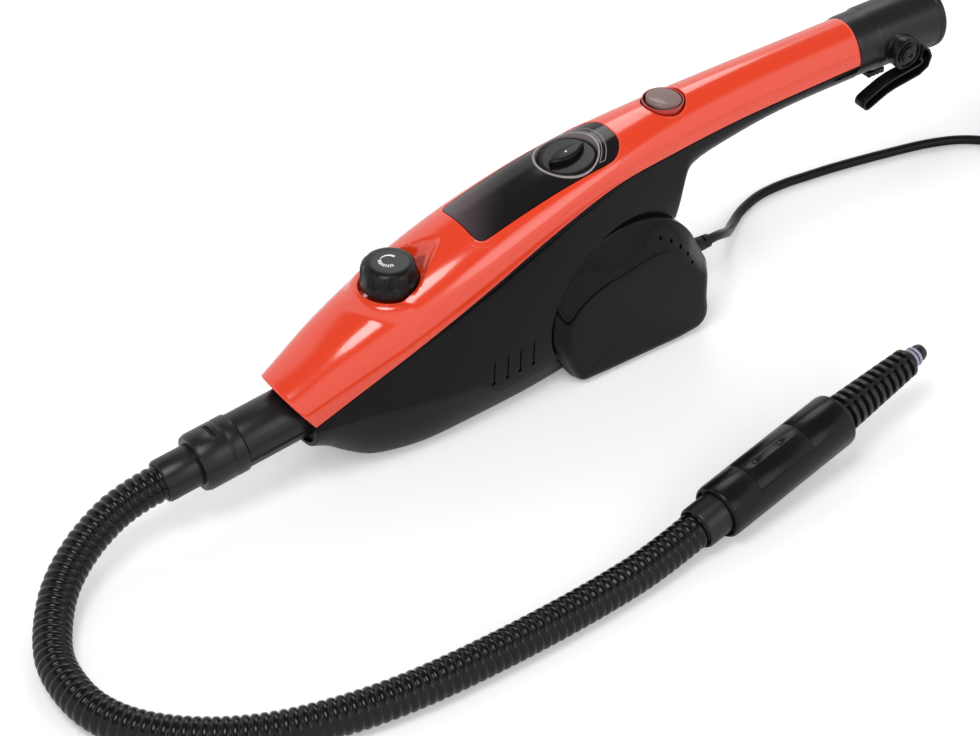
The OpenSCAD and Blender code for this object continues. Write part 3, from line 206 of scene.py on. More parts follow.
class Recipe(Tree):
    # a Geometry Nodes tree with named inputs
    kinds = {float: "NodeSocketFloat", int: "NodeSocketInt", str: "NodeSocketMaterial",
             tuple: "NodeSocketVector"}

    def __init__(self, name, inputs):
        self.tree = bpy.data.node_groups.new(name, "GeometryNodeTree")
        face = self.tree.interface
        face.new_socket("Geometry", in_out="INPUT", socket_type="NodeSocketGeometry")
        face.new_socket("Geometry", in_out="OUTPUT", socket_type="NodeSocketGeometry")
        for key, value in inputs.items():
            face.new_socket(key, in_out="INPUT", socket_type=self.kinds[type(value)])
        self.given = self.add("NodeGroupInput")
        self.defaults = inputs

    def done(self, shape, smooth=True):
        shape = self.add("GeometryNodeRealizeInstances", None, {"Geometry": shape})
        shape = self.add("GeometryNodeSetShadeSmooth", None, {"Geometry": shape, "Shade Smooth": smooth})
        shape = self.add("GeometryNodeSetMaterial", None,
                         {"Geometry": shape, "Material": self.given["Material"]})
        self.add("NodeGroupOutput", None, {0: shape})
        return self

    def make(self, name, base, **values):
        # runs the tree on a base mesh and keeps the plain mesh
        obj = bpy.data.objects.new(name, base)
        scene.collection.objects.link(obj)
        mod = obj.modifiers.new("recipe", "NODES")
        mod.node_group = self.tree
        for item in self.tree.interface.items_tree:
            if item.in_out == "INPUT" and item.name in self.defaults:
                value = values.get(item.name, self.defaults[item.name])
                mod[item.identifier] = finishes[value] if isinstance(value, str) else value
        return outward(applyAll(obj))


def applyAll(obj):
    mesh = bpy.data.meshes.new_from_object(obj.evaluated_get(bpy.context.evaluated_depsgraph_get()))
    obj.modifiers.clear()
    obj.data = mesh
    return obj


def outward(obj):
    bm = bmesh.new()
    bm.from_mesh(obj.data)
    bmesh.ops.recalc_face_normals(bm, faces=bm.faces)
    bm.to_mesh(obj.data)
    bm.free()
    return obj


def paint(obj, finish, angle=35):
    obj.data.materials.clear()
    obj.data.materials.append(finishes[finish])
    obj.data.shade_smooth()
    if angle:
        obj.data.set_sharp_from_angle(angle=math.radians(angle))
    return obj


def asObject(name, mesh):
    obj = bpy.data.objects.new(name, mesh)
    scene.collection.objects.link(obj)
    return obj


def meshOf(points, faces, name="shape"):
    mesh = bpy.data.meshes.new(name)
    mesh.from_pydata([Vector(p) * mm for p in points], [], faces)
    mesh.validate()
    return mesh


def aroundFaces(rings, sides, closed=True):
    # quads between neighbouring rings, and from the last ring to the first where they close
    faces = []
    for i in range(rings if closed else rings - 1):
        a, b = i * sides, (i + 1) % rings * sides
        faces += [(a + k, a + (k + 1) % sides, b + (k + 1) % sides, b + k) for k in range(sides)]
    return faces


def loft(rings, name="loft"):
    # closed rings joined by quads, each end filled by a strip between the ring's two halves
    n = len(rings[0])
    last = (len(rings) - 1) * n
    faces = aroundFaces(len(rings), n, False)
    for i in range(n // 2 - 1):
        k = n - 1 - i
        faces += [(i, k, k - 1, i + 1), (last + i, last + i + 1, last + k - 1, last + k)]
    return meshOf([p for r in rings for p in r], faces, name)


def lathe(profile, sides):
    # a closed profile of r, z pairs turned about Z; a radius of zero closes to one point
    points, faces, rows = [], [], []
    for r, z in profile:
        if r < 1e-6:
            rows.append([len(points)] * sides)
            points.append((0, 0, z))
        else:
            rows.append([len(points) + i for i in range(sides)])
            points += [(r * math.cos(2 * math.pi * i / sides), r * math.sin(2 * math.pi * i / sides), z)
                       for i in range(sides)]
    closed = profile[0][0] > 1e-6
    for a, b in zip(rows, rows[1:] + ([rows[0]] if closed else [])):
        for i in range(sides):
            j = (i + 1) % sides
            ring = [a[i], a[j], b[j], b[i]]
            face = [v for k, v in enumerate(ring) if v not in ring[:k]]
            if len(face) > 2:
                faces.append(tuple(face))
    return points, faces


def cutWith(obj, cutter, operation="DIFFERENCE"):
    mod = obj.modifiers.new("cut", "BOOLEAN")
    mod.operation, mod.solver, mod.object = operation, "MANIFOLD", cutter
    applyAll(obj)
    bpy.data.objects.remove(cutter)
    return obj


def prism(outline, low, high, across=False):
    # an outline in x, y raised along z, or one in x, z drawn across y
    n = len(outline)
    spot = (lambda p, h: (p[0], h, p[1])) if across else (lambda p, h: (p[0], p[1], h))
    points = [spot(p, low) for p in outline] + [spot(p, high) for p in outline]
    faces = [tuple(range(n - 1, -1, -1)), tuple(range(n, 2 * n))] + aroundFaces(2, n, False)
    if across:
        faces = [f[::-1] for f in faces]
    area = sum(p[0] * q[1] - q[0] * p[1] for p, q in zip(outline, outline[1:] + outline[:1]))
    if area < 0:
        faces = [f[::-1] for f in faces]
    return asObject("cutter", meshOf(points, faces))


def circle(x, y, r, n):
    return [(x + r * math.cos(2 * math.pi * i / n), y + r * math.sin(2 * math.pi * i / n)) for i in range(n)]


def box(x0, x1, y0, y1, z0, z1):
    return prism([(x0, y0), (x1, y0), (x1, y1), (x0, y1)], z0, z1)


def place(obj, body, slot, *nodes):
    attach(obj, body)
    if nodes:
        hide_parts(*nodes)
    return obj


def standFor(obj, *nodes):
    return place(obj, bodyOf[nodes[0]], slotOf[nodes[0]], *nodes)


def dress(node, finish, bevel, angle=30):
    # a CAD node's own shape with its corners broken and its curves smoothed
    mesh = cadNodes[node].data.copy()
    bm = bmesh.new()
    bm.from_mesh(mesh)
    bmesh.ops.remove_doubles(bm, verts=bm.verts, dist=1e-6)
    bmesh.ops.dissolve_limit(bm, angle_limit=math.radians(0.5), verts=bm.verts, edges=bm.edges)
    bm.to_mesh(mesh)
    bm.free()
    obj = asObject(node + "Finished", mesh)
    if bevel:
        mod = obj.modifiers.new("edge", "BEVEL")
        mod.width, mod.segments, mod.limit_method = bevel * mm, 2, "ANGLE"
        mod.angle_limit = math.radians(angle)
        applyAll(obj)
    return standFor(paint(obj, finish, angle), node)


def lerp(a, b, t):
    return a + (b - a) * t


def ease(v, low, high):
    t = min(1, max(0, (v - low) / (high - low)))
    return t * t * (3 - 2 * t)


def spread(a, b, n):
    return [lerp(a, b, i / n) for i in range(n + 1)]


def arc(cx, cy, r, a, b, n):
    # n steps of a circle, from angle a to angle b in degrees
    return [(cx + r * math.cos(math.radians(q)), cy + r * math.sin(math.radians(q))) for q in spread(a, b, n)]


hose = {"crest": 11.75, "root": 9.9, "pitch": 5.6, "sides": 26, "step": 0.62, "mouth": (-283.7, 0, 38.56),
        "route": [(-263.8, 0, 40.65), (-283.7, 0, 38.56), (-295.7, 0, 37), (-308.7, -1, 35),
                  (-321.7, -4, 33), (-345.7, -13, 26.5), (-367.7, -28, 19.5), (-383.7, -48, 14.4),
                  (-394.7, -71, 12.4), (-397.7, -95, 12), (-395, -118, 12), (-385, -140, 12),
                  (-369, -159, 12), (-346, -177, 12), (-319, -191, 12), (-288, -201, 12),
                  (-256, -207.5, 12), (-222, -211, 12), (-181, -212.4, 12), (-134, -212, 12),
                  (-95, -210, 12), (-72, -208, 12.4), (-50, -205.2, 13.9), (-27, -202, 16.5),
                  (-13.2, -200.1, 18.0)]}
lead = {"radius": 3.5, "sides": 12, "step": 2.6, "exit": (144, 0, 38), "length": 5.0,
        "coilAt": (486, -20), "turns": 18, "columns": (50.5, 43.5, 36.5, 29.5),
        "rows": (5.3, 12.3, 19.3, 26.3, 33.3), "shiftFrom": 0.3, "turnSteps": 72, "lastSteps": 33,
        "route": [(118, 0, 38), (140, 0, 38), (153, 2.5, 36), (166, 9, 29), (177, 18, 19.5),
                  (188, 28.5, 10.5), (201, 39, 5), (216, 48, 3.7), (238, 55, 3.7), (262, 56, 3.7),
                  (284, 53.5, 3.7), (303, 51, 3.7), (345, 43, 3.7), (386, 33, 3.7),
                  (410, 22, 3.7), (426, 6, 4.1)],
        "toPlug": [(528, -31.2, 35), (529.5, -20, 37.3), (528, -8.7, 39.6), (522.5, 12, 42.5),
                   (515.5, 25.4, 44), (503.5, 34.7, 45.3), (484.2, 38.2, 46.8), (465, 34.7, 48),
                   (453.2, 25, 48.6), (446, 12, 48.8)]}


def smoothRoute(points):
    # a centripetal curve through the points
    p = [Vector(q) for q in points]
    p = [p[0] * 2 - p[1]] + p + [p[-1] * 2 - p[-2]]
    fine = []
    for i in range(1, len(p) - 2):
        a, b, c, d = p[i - 1:i + 3]
        t1 = (b - a).length ** 0.5
        t2 = t1 + (c - b).length ** 0.5
        t3 = t2 + (d - c).length ** 0.5
        for k in range(12):
            t = lerp(t1, t2, k / 12)
            a1 = a * ((t1 - t) / t1) + b * (t / t1)
            a2 = b * ((t2 - t) / (t2 - t1)) + c * ((t - t1) / (t2 - t1))
            a3 = c * ((t3 - t) / (t3 - t2)) + d * ((t - t2) / (t3 - t2))
            b1 = a1 * ((t2 - t) / t2) + a2 * (t / t2)
            b2 = a2 * ((t3 - t) / (t3 - t1)) + a3 * ((t - t1) / (t3 - t1))
            fine.append(b1 * ((t2 - t) / (t2 - t1)) + b2 * ((t - t1) / (t2 - t1)))
    return fine + [p[-2]]


def evenSteps(fine, step):
    total = sum((b - a).length for a, b in zip(fine, fine[1:]))
    count = max(2, round(total / step))
    out, run, k = [fine[0]], 0.0, 0
    for i in range(1, count):
        goal = total * i / count
        while run + (fine[k + 1] - fine[k]).length < goal:
            run += (fine[k + 1] - fine[k]).length
            k += 1
        out.append(fine[k].lerp(fine[k + 1], (goal - run) / (fine[k + 1] - fine[k]).length))
    return out + [fine[-1]], total


def lineMesh(points, name):
    mesh = bpy.data.meshes.new(name)
    mesh.from_pydata([p * mm for p in points], [(i, i + 1) for i in range(len(points) - 1)], [])
    return mesh


def ribbedTube():
    # a tube along a line, its radius swelling once in every pitch
    g = Recipe("ribbedTube", {"Crest": 0.01, "Root": 0.009, "Pitch": 0.005, "Sides": 16,
                              "Material": "hoseBlack"})
    line = g.add("GeometryNodeMeshToCurve", None, {"Mesh": g.given["Geometry"]})
    along = g.add("GeometryNodeSplineParameter")["Length"]
    turn = (along / g.given["Pitch"])
    u = turn.math("FRACT", turn) * 2.0 - 1.0
    rib = turn.math("SQRT", turn.math("MAXIMUM", 1.0 - u * u, 0.0))
    radius = g.given["Root"] + (g.given["Crest"] - g.given["Root"]) * rib
    ring = g.add("GeometryNodeCurvePrimitiveCircle", {"mode": "RADIUS"},
                 {"Resolution": g.given["Sides"], "Radius": 1.0})
    tube = g.add("GeometryNodeCurveToMesh", None,
                 {"Curve": line, "Profile Curve": ring, "Scale": radius, "Fill Caps": True})
    return g.done(tube)


def coilTurns():
    # layers wound out to in and back, each turn beside the last, rising to the plug
    cx, cy = lead["coilAt"]
    slots = []
    for k, z in enumerate(lead["rows"]):
        columns = lead["columns"] if k % 2 == 0 else lead["columns"][::-1]
        slots += [(r, z) for r in columns]
    slots = slots[:lead["turns"]]
    points, shift = [], lead["shiftFrom"]
    for k, (r, z) in enumerate(slots):
        final = k == len(slots) - 1
        nextR, nextZ = (r, z) if final else slots[k + 1]
        for i in range(0, lead["lastSteps"] if final else lead["turnSteps"], 3):
            t = i / lead["turnSteps"]
            s = ease(t, shift, 1)
            a = math.pi + 2 * math.pi * t
            points.append((cx + lerp(r, nextR, s) * math.cos(a), cy + lerp(r, nextR, s) * math.sin(a),
                           lerp(z, nextZ, s)))
    return points + lead["toPlug"]


tube = ribbedTube()
hoseLine, hoseLength = evenSteps(smoothRoute(hose["route"]), hose["step"])
steamHose = tube.make("steamHose", lineMesh(hoseLine, "hose"), Crest=hose["crest"] * mm,
                      Root=hose["root"] * mm, Pitch=hose["pitch"] * mm, Sides=hose["sides"],
                      Material="hoseBlack")
standFor(steamHose, "steam_hose")
leadLine, leadLength = evenSteps(smoothRoute(lead["route"] + coilTurns()), lead["step"])
mainsLead = tube.make("mainsLead", lineMesh(leadLine, "lead"), Crest=lead["radius"] * mm,
                      Root=lead["radius"] * mm, Pitch=0.01, Sides=lead["sides"], Material="leadBlack")
standFor(mainsLead, "power_lead", "lead_coil")
print("hose", round(hoseLength), "mm, lead", round(leadLength), "mm")
plugBody = dress("plug_body", "softBlack", 0.6)
plugPins = dress("plug_pins", "steel", 0.2)
coilTie = dress("coil_tie", "softBlack", 0.2)
relief = dress("strain_relief", "softBlack", 0.25)
round(hoseLength * mm, 3)
[tuple(p * mm) for p in hoseLine[::8] + hoseLine[-1:]]
[tuple(p * mm) for p in leadLine]
print("cords laid")

body = {
    "wall": 2.4, "seam": 0.3, "edge": 0.55,
    # x, crown height, split height, half width
    "form": [(-240, 60, 22, 18), (-192, 84, 49, 25), (-160, 100.5, 67, 30.5), (-120, 119, 86.5, 35),
             (-70, 138.5, 107.5, 36), (-10, 155.105, 130.068, 32.7), (40, 164.33, 143.088, 28.5),
             (90, 170.972, 146.994, 25.2), (140, 173.9, 149.4, 22.8), (200, 174.9, 150.4, 21.5),
             (250, 175.4, 150.9, 21), (310, 175.4, 150.9, 21)],
    # x, height of the underside; the neck's back stands upright near x 100
    "under": [(-200, 33), (-187, 27.5), (-175, 21), (-160, 9.5), (-147, 2.2), (-134, 0), (-60, 0), (-20, 0),
              (4, 0), (11, 0.2), (20, 14), (60, 62), (91, 68), (97.5, 78), (100, 95), (102, 109.5),
              (105, 118.2), (111, 123.4), (120, 126.3), (130, 127.9), (145, 129.6), (170, 132), (205, 133.4),
              (250, 133.4), (310, 133.4)],
    "bellyLine": [(-200, 50), (-187, 49), (-160, 48), (-130, 44.5), (-100, 40), (-85, 37.5), (-70, 35),
                  (-63, 31), (-58, 26), (-36, 23.5), (-10, 22.5), (12, 21.5)],
    "front": -187, "back": 250, "bellyBack": 12}


def curve(table, x, c=1):
    # a smooth line through one column of a table
    i = 0
    while i < len(table) - 2 and x >= table[i + 1][0]:
        i += 1

    def rise(k): return (table[k + 1][c] - table[k][c]) / (table[k + 1][0] - table[k][0])

    def slope(k):
        if k == 0:
            return rise(0)
        return rise(k - 1) if k == len(table) - 1 else (rise(k) + rise(k - 1)) / 2
    h = table[i + 1][0] - table[i][0]
    s = (x - table[i][0]) / h
    return ((2 * s**3 - 3 * s * s + 1) * table[i][c] + (s**3 - 2 * s * s + s) * h * slope(i)
            + (3 * s * s - 2 * s**3) * table[i + 1][c] + (s**3 - s * s) * h * slope(i + 1))


def crown(x): return curve(body["form"], x, 1)
def split(x): return curve(body["form"], x, 2)
def half(x): return curve(body["form"], x, 3)
def belly(x): return curve(body["under"], x)
def bellySeam(x): return curve(body["bellyLine"], x)
def upperPower(x): return lerp(2.4, 2, ease(x, -10, 140))


def lowerPower(x):
    return lerp(lerp(2.6, 5.4, ease(x, -175, -95)), lerp(3.4, 2, ease(x, 60, 200)), ease(x, -40, 60))


def signPower(v, p): return math.copysign(abs(v) ** p, v)


def station(x):
    # everything about one cross section, worked out once
    lean = lerp(0.68, 0, ease(x, -187, -125))
    return {"x": x, "split": split(x), "half": half(x), "belly": belly(x), "lean": lean,
            "top": crown(x - lean * (crown(x) - split(x))), "up": 2 / upperPower(x), "low": 2 / lowerPower(x)}


def skin(st, a, inset=0.0):
    # a runs from the left split over the crown, then down and under
    if math.sin(a) >= 0:
        rise = (st["top"] - inset - st["split"]) * signPower(math.sin(a), st["up"])
        return Vector((st["x"] - st["lean"] * rise, -(st["half"] - inset) * signPower(math.cos(a), st["up"]),
                       st["split"] + rise))
    rise = (st["split"] - st["belly"] - inset) * signPower(math.sin(a), st["low"])
    return Vector((st["x"], -(st["half"] - inset) * signPower(math.cos(a), st["low"]), st["split"] + rise))


def seamAngle(x):
    s = (split(x) - bellySeam(x)) / (split(x) - belly(x))
    return math.asin(min(1, max(0, s)) ** (lowerPower(x) / 2))


def evenAngles(st, start, stop, n):
    fine = [lerp(start, stop, i / 240) for i in range(241)]
    at = [skin(st, a) for a in fine]
    run = [0.0]
    for p, q in zip(at, at[1:]):
        run.append(run[-1] + (q - p).length)
    out, k = [start], 0
    for i in range(1, n):
        goal = run[-1] * i / n
        while run[k + 1] < goal:
            k += 1
        out.append(lerp(fine[k], fine[k + 1], (goal - run[k]) / max(1e-9, run[k + 1] - run[k])))
    return out + [stop]


def shellRing(x, start, stop, n, roll):
    # the outside with its two edges rolled in, then back along the inside
    st, edge, wall = station(x), body["edge"], body["wall"]
    angles = evenAngles(st, start, stop, n)
    outer = [skin(st, a, roll) for a in angles]
    inner = [skin(st, a, wall) for a in angles]

    def corner(p, q, w):
        away, down = (q - p).normalized(), (w - p).normalized()
        return [p + down * edge, p + away * edge * 0.3 + down * edge * 0.3, p + away * edge]
    first = corner(outer[0], outer[1], inner[0])
    final = corner(outer[-1], outer[-2], inner[-1])
    outside = first + outer[1:-1] + final[::-1]
    depth = (wall - edge) / 3
    down = [(i - o).normalized() for i, o in ((inner[0], outer[0]), (inner[-1], outer[-1]))]
    inside = ([first[0] + down[0] * depth, first[0] + down[0] * depth * 2] + inner
              + [final[0] + down[1] * depth * 2, final[0] + down[1] * depth])
    return outside + inside[::-1]


def rolledStations(xs):
    e = body["edge"]
    return ([(xs[0], e), (xs[0] + 0.3 * e, 0.3 * e), (xs[0] + e, 0.0)] + [(x, 0.0) for x in xs[1:-1]]
            + [(xs[-1] - e, 0.0), (xs[-1] - 0.3 * e, 0.3 * e), (xs[-1], e)])


dial = {"x": -114.5, "seat": 116.333, "gap": 0.5, "top": 17.05, "r": 18.3, "flutes": 8, "fluteAt": 2.5,
        "fluteR": 5.2, "fluteFrom": 4.4, "hole": 20.3, "reach": 48, "deepest": 95, "lip": 115.8,
        "lipFrom": 20.5, "lipTo": 29, "lipLow": 104, "lipFront": 4, "lipBack": 8, "scoopR": 21.7,
        "scoopTip": -73.5, "scoopFloor": 117.6, "scoopFrom": -100, "scoopRise": 0.72, "scoopWall": 5.0}
tank = {"front": -62, "back": 53, "half": 21.5, "corner": 6, "backCorner": 15, "floor": 100, "wall": 2}


def scoopInside(x, y):
    # distance in from the edge of the drop-shaped hollow behind the dial
    reach = dial["scoopTip"] - dial["x"]
    lean = math.asin(dial["scoopR"] / reach)
    dx = x - dial["x"]
    if math.atan2(abs(y), dx) > math.pi / 2 - lean:
        return dial["scoopR"] - math.hypot(dx, y)
    return (dial["scoopTip"] - x) * math.sin(lean) - math.sqrt(y * y + 6) * math.cos(lean)


def dent(p):
    # the lip round the dial and the finger hollow behind it
    x, y, z = p
    away = math.hypot(x - dial["x"], y)
    if away > dial["reach"] or z < dial["deepest"]:
        return p
    back = dial["x"] + dial["lipBack"]
    if x < back and z > dial["lipLow"]:
        rise = max(0, dial["lip"] - z) * (1 - ease(away, dial["lipFrom"], dial["lipTo"]))
        z += rise * (1 - ease(x, dial["x"] - dial["lipFront"], back))
    s = scoopInside(x, y)
    if s > 0 and x > dial["x"]:
        floor = dial["scoopFloor"] + max(0, x - dial["scoopFrom"]) * dial["scoopRise"]
        t = min(1, s / dial["scoopWall"])
        z -= max(0, z - floor) * (1 - (1 - t) ** 2) * ease(x, dial["x"], dial["x"] + 9)
    return Vector((x, y, z))


def coverZ(x, y):
    w, p = half(x), upperPower(x)
    s = (1 - min(1, abs(y) / w) ** p) ** (1 / p)
    return dent(Vector((x, y, split(x) + (crown(x) - split(x)) * s))).z


def tankOutline(grow, n=14):
    # seen from above, back to front and round again
    out, swing = [], [90 * i / n for i in range(n + 1)]
    corners = [(tank["back"], 1, tank["backCorner"], 0), (tank["front"], 1, tank["corner"], 90),
               (tank["front"], -1, tank["corner"], 180), (tank["back"], -1, tank["backCorner"], 270)]
    for x, side, r, start in corners:
        back = x == tank["back"]
        cx = x - r if back else x + r
        cy = side * (tank["half"] - r)
        out += [(cx + (r + grow) * math.cos(math.radians(start + q)),
                 cy + (r + grow) * math.sin(math.radians(start + q))) for q in swing]
    return out


def bead(name, outline, r, sink, finish, *where):
    # a fine rounded lip that follows the cover's surface round an opening
    path = [Vector((x, y, coverZ(x, y) - sink)) for x, y in outline]
    n, sides = len(path), 8
    rings = []
    for i, p in enumerate(path):
        along = (path[(i + 1) % n] - path[i - 1]).normalized()
        side = along.cross(Vector((0, 0, 1))).normalized()
        up = side.cross(along)
        turns = [2 * math.pi * k / sides for k in range(sides)]
        rings.append([p + side * r * math.cos(q) + up * r * math.sin(q) for q in turns])
    points = [q for ring in rings for q in ring]
    obj = asObject(name, meshOf(points, aroundFaces(n, sides), name))
    return place(paint(outward(obj), finish, None), *where)


def shell(name, xs, start, stop, n, shift, change=None):
    rings = [[q + shift for q in shellRing(x, start(x), stop(x), n, roll)] for x, roll in rolledStations(xs)]
    if change:
        rings = [[change(q) for q in ring] for ring in rings]
    return outward(asObject(name, loft(rings, name)))


def mirrored(obj, name):
    mesh = obj.data.copy()
    for v in mesh.vertices:
        v.co.y = -v.co.y
    mesh.flip_normals()
    return asObject(name, mesh)


switch = {"x": 97, "hole": 14.7, "lip": 15.2, "turn": 135, "shoulder": 0.707, "tip": 1.62}
coverX = spread(-187, -140, 19)[:-1] + spread(-140, -68, 62)[:-1] + spread(-68, body["back"], 120)
cover = shell("topCover", coverX, lambda x: 0.0, lambda x: math.pi, 92, Vector((0, 0, 0.15)), dent)
cutWith(cover, prism(tankOutline(0.9), 80, 220))
cutWith(cover, prism(circle(dial["x"], 0, dial["hole"], 96), 90, 220))
cutWith(cover, prism(circle(switch["x"], 0, switch["hole"], 72), 120, 220))
standFor(paint(cover, "orangeGloss"), "top_cover")
print("cover done,", len(cover.data.polygons), "faces")

cup = {"sides": 96, "bore": 4, "inner": 19.5, "outer": 21.2, "rim": 20.4, "low": 103.4, "floor": 107.4}


def dialCup():
    # the pocket that the dial turns in: its rim rises to the cover's edge
    n, bore, inner, outer, floor = (cup[k] for k in ("sides", "bore", "inner", "outer", "floor"))
    points = []
    for i in range(n):
        c, s = math.cos(2 * math.pi * i / n), math.sin(2 * math.pi * i / n)
        rim = coverZ(dial["x"] + cup["rim"] * c, cup["rim"] * s)
        profile = ((bore, floor), (inner - 0.5, floor), (inner, floor + 0.5), (inner, rim - 0.5),
                   (inner + 0.3, rim + 0.05), (inner + 0.85, rim + 0.28), (outer - 0.3, rim + 0.05),
                   (outer, rim - 0.6), (outer, cup["low"]), (bore, cup["low"]))
        points += [(dial["x"] + r * c, r * s, z) for r, z in profile]
    return paint(outward(asObject("dialCup", meshOf(points, aroundFaces(n, 10)))), "orangeGloss")


place(dialCup(), "unit", slotOf["top_cover"])
bead("windowLip", tankOutline(0.95, 12), 0.75, 0.4, "orangeGloss", "unit", slotOf["top_cover"])
bead("windowStep", tankOutline(4.2, 14), 0.4, 0.24, "orangeGloss", "unit", slotOf["top_cover"])

bellyX = spread(body["front"], body["bellyBack"] - body["seam"], 90)
housingX = bellyX + spread(bellyX[-1], 90, 34)[1:] + spread(90, 116, 34)[1:]
housingX += spread(116, body["back"], 56)[1:]
left = shell("leftHousing", housingX,
             lambda x: 2 * math.pi - seamAngle(x) if x < body["bellyBack"] else 1.5 * math.pi,
             lambda x: 2 * math.pi, 64, Vector((0, -0.15, -0.15)))
pod = {"x": 50, "z": 47.5, "r": 62, "from": 184, "to": 24, "back": 118, "half": 40, "corner": 15,
       "foot": 14, "footCorner": 10, "middle": (52, 42), "gap": 0.3, "screws": ((104, 15), (9.5, 13)),
       "vents": 5, "ventR": 50, "ventFrom": 64, "ventStep": 11, "ventHole": 1.3,
       "tankRoom": (-16, 80, -23.5, 23.5, 55.5, 140), "frontRoom": (-16, 14, -22, 22, 22, 82),
       "leadRoom": (108, 125, -5.9, 5.9, 32.1, 43.9)}
screw = {"housing": ((-66, 91), (114, 140), (214, 143)), "hole": 3.3, "sink": 4.5}


def podBand(q):
    # width of the sloping band between the cover's edge and its flat side
    return lerp(8, 4, ease(q, 100, 170)) + 15 * math.cos(math.radians(min(90, 1.1 * abs(q - 103)))) ** 2


def podOutline():
    # x, z and band width of the corners, then a smooth closed line through them
    turns = spread(pod["from"], pod["to"], 20)
    wheel = arc(pod["x"], pod["z"], pod["r"], pod["from"], pod["to"], 20)
    corner, foot, back, front = pod["corner"], pod["footCorner"], pod["back"], pod["x"] - pod["r"]
    keys = ([(x, z, podBand(q)) for q, (x, z) in zip(turns, wheel)]
            + [(back - 5, pod["z"] + 12.8, 7), (back, pod["z"] + 2, 5), (back, 28, 3.4)]
            + [(x, z, 2) for x, z in arc(back - corner, corner, corner, 0, -90, 4)]
            + [(x, 0, 0.8) for x in (90, 70, 50, 30)]
            + [(x, z, 1.2) for x, z in arc(pod["foot"], foot, foot, 270, 205, 3)]
            + [(front + 9, 20, 2), (front + 3, 32, 3)])
    fine = smoothRoute(keys[-2:] + keys + keys[:2])[24:24 + 12 * len(keys)][::2]
    out = []
    for i, p in enumerate(fine):
        along = (fine[(i + 1) % len(fine)] - fine[i - 1]).normalized()
        inward = Vector((along.y, -along.x)).normalized()
        out.append((Vector((p.x, max(0.0, p.y))), inward, p.z))
    return out


podPoints = podOutline()


def podSide(inset, share=0.0):
    return [tuple(p + way * (inset + share * wide)) for p, way, wide in podPoints]


cutWith(left, prism(podSide(-pod["gap"]), -100, 100, True))
vent = {"at": (-61, -50, -39.5, -28.5), "wide": 3, "low": 31, "high": 33, "grooveTop": 52,
        "groove": (0.7, 2.1), "depth": 0.55}


def grooveBlock(x, low, high):
    # a block whose inner face follows the flank, a little below its surface
    ring = []
    for q in (x + vent["groove"][0], x + vent["groove"][1]):
        st = station(q)
        face = []
        for z in spread(low, high, 12):
            s = ((st["split"] - z) / (st["split"] - st["belly"])) ** (1 / st["low"])
            deep = vent["depth"] * ease(z, low - 1, low + 2) * (1 - ease(z, high - 5, high + 0.5))
            face.append(Vector((q, -st["half"] * (1 - s * s) ** (st["low"] / 2) + deep, z)))
        ring.append(face + [Vector((q, -60, p.z)) for p in face[::-1]])
    return outward(asObject("cutter", loft(ring)))


for x in vent["at"]:
    cutWith(left, box(x, x + vent["wide"], -60, 0, vent["low"], vent["high"]))
    cutWith(left, grooveBlock(x, vent["high"] - 0.5, vent["grooveTop"]))
right = mirrored(left, "rightHousing")
for x, z in screw["housing"]:
    cutWith(right, prism(circle(x, z, screw["hole"], 32), half(x) - screw["sink"], 60, True))
standFor(paint(left, "blackGloss"), "left_housing")
standFor(paint(right, "blackGloss"), "right_housing")
print("housing done")

under = shell("bellyCover", bellyX, lambda x: math.pi + seamAngle(x),
              lambda x: 2 * math.pi - seamAngle(x), 72, Vector((0, 0, -0.3)))
cutWith(under, box(-300, 100, -100, 100, -20, 0))
cutWith(under, prism(podSide(-pod["gap"]), -100, 100, True))
standFor(paint(under, "gripSatin"), "belly_cover")


def podCover():
    # rings from the middle out to the side, over the set-down face, then back inside:
    # y, inset, share of the band, size about the middle
    levels = [(-0.15, 0, 0, 1), (-20, 0, 0, 1), (-29, 0, 0, 1), (-29.7, 0.1, 0, 1), (-30.1, 0.3, 0.012, 1),
              (-30.4, 0.55, 0.045, 1), (-31.2, 0.6, 0.15, 1), (-32.7, 0.7, 0.34, 1), (-34.3, 0.8, 0.54, 1),
              (-35.8, 0.9, 0.73, 1), (-36.9, 1.1, 0.87, 1), (-37.9, 1.6, 0.96, 1), (-38.7, 2.4, 1, 1),
              (-39.3, 3.4, 1, 1), (-39.75, 4.8, 1, 1), (-39.95, 6.4, 1, 1), (-40, 8, 1, 1), (-40, 8, 1, 0.8),
              (-40, 8, 1, 0.5), (-40, 8, 1, 0.2)]
    inside = [(-37.2, 9, 1, 0.2), (-37.2, 9, 1, 1), (-27.6, 2.4, 0, 1), (-0.15, 2.4, 0, 1)]
    midX, midZ = pod["middle"]
    rings = [[Vector((lerp(midX, x, size), y, lerp(midZ, z, size))) for x, z in podSide(inset, share)]
             for y, inset, share, size in levels + inside]
    n, top = len(rings[0]), len(levels) - 1
    points = [p for r in rings for p in r]
    faces = [q for k, q in enumerate(aroundFaces(len(rings), n)) if k // n != top]
    for s in (top, top + 1):
        middle = len(points)
        points.append(sum(rings[s], Vector()) / n)
        faces += [(middle, s * n + i, s * n + (i + 1) % n) for i in range(n)]
    obj = outward(asObject("leftBoilerCover", meshOf(points, faces)))
    for i in range(pod["vents"]):
        spot = arc(pod["x"], pod["z"], pod["ventR"], pod["ventFrom"] - pod["ventStep"] * i, 0, 1)[0]
        cutWith(obj, prism(circle(*spot, pod["ventHole"], 20), -60, 0, True))
    cutWith(obj, box(*pod["tankRoom"]))
    return cutWith(obj, box(*pod["frontRoom"]))


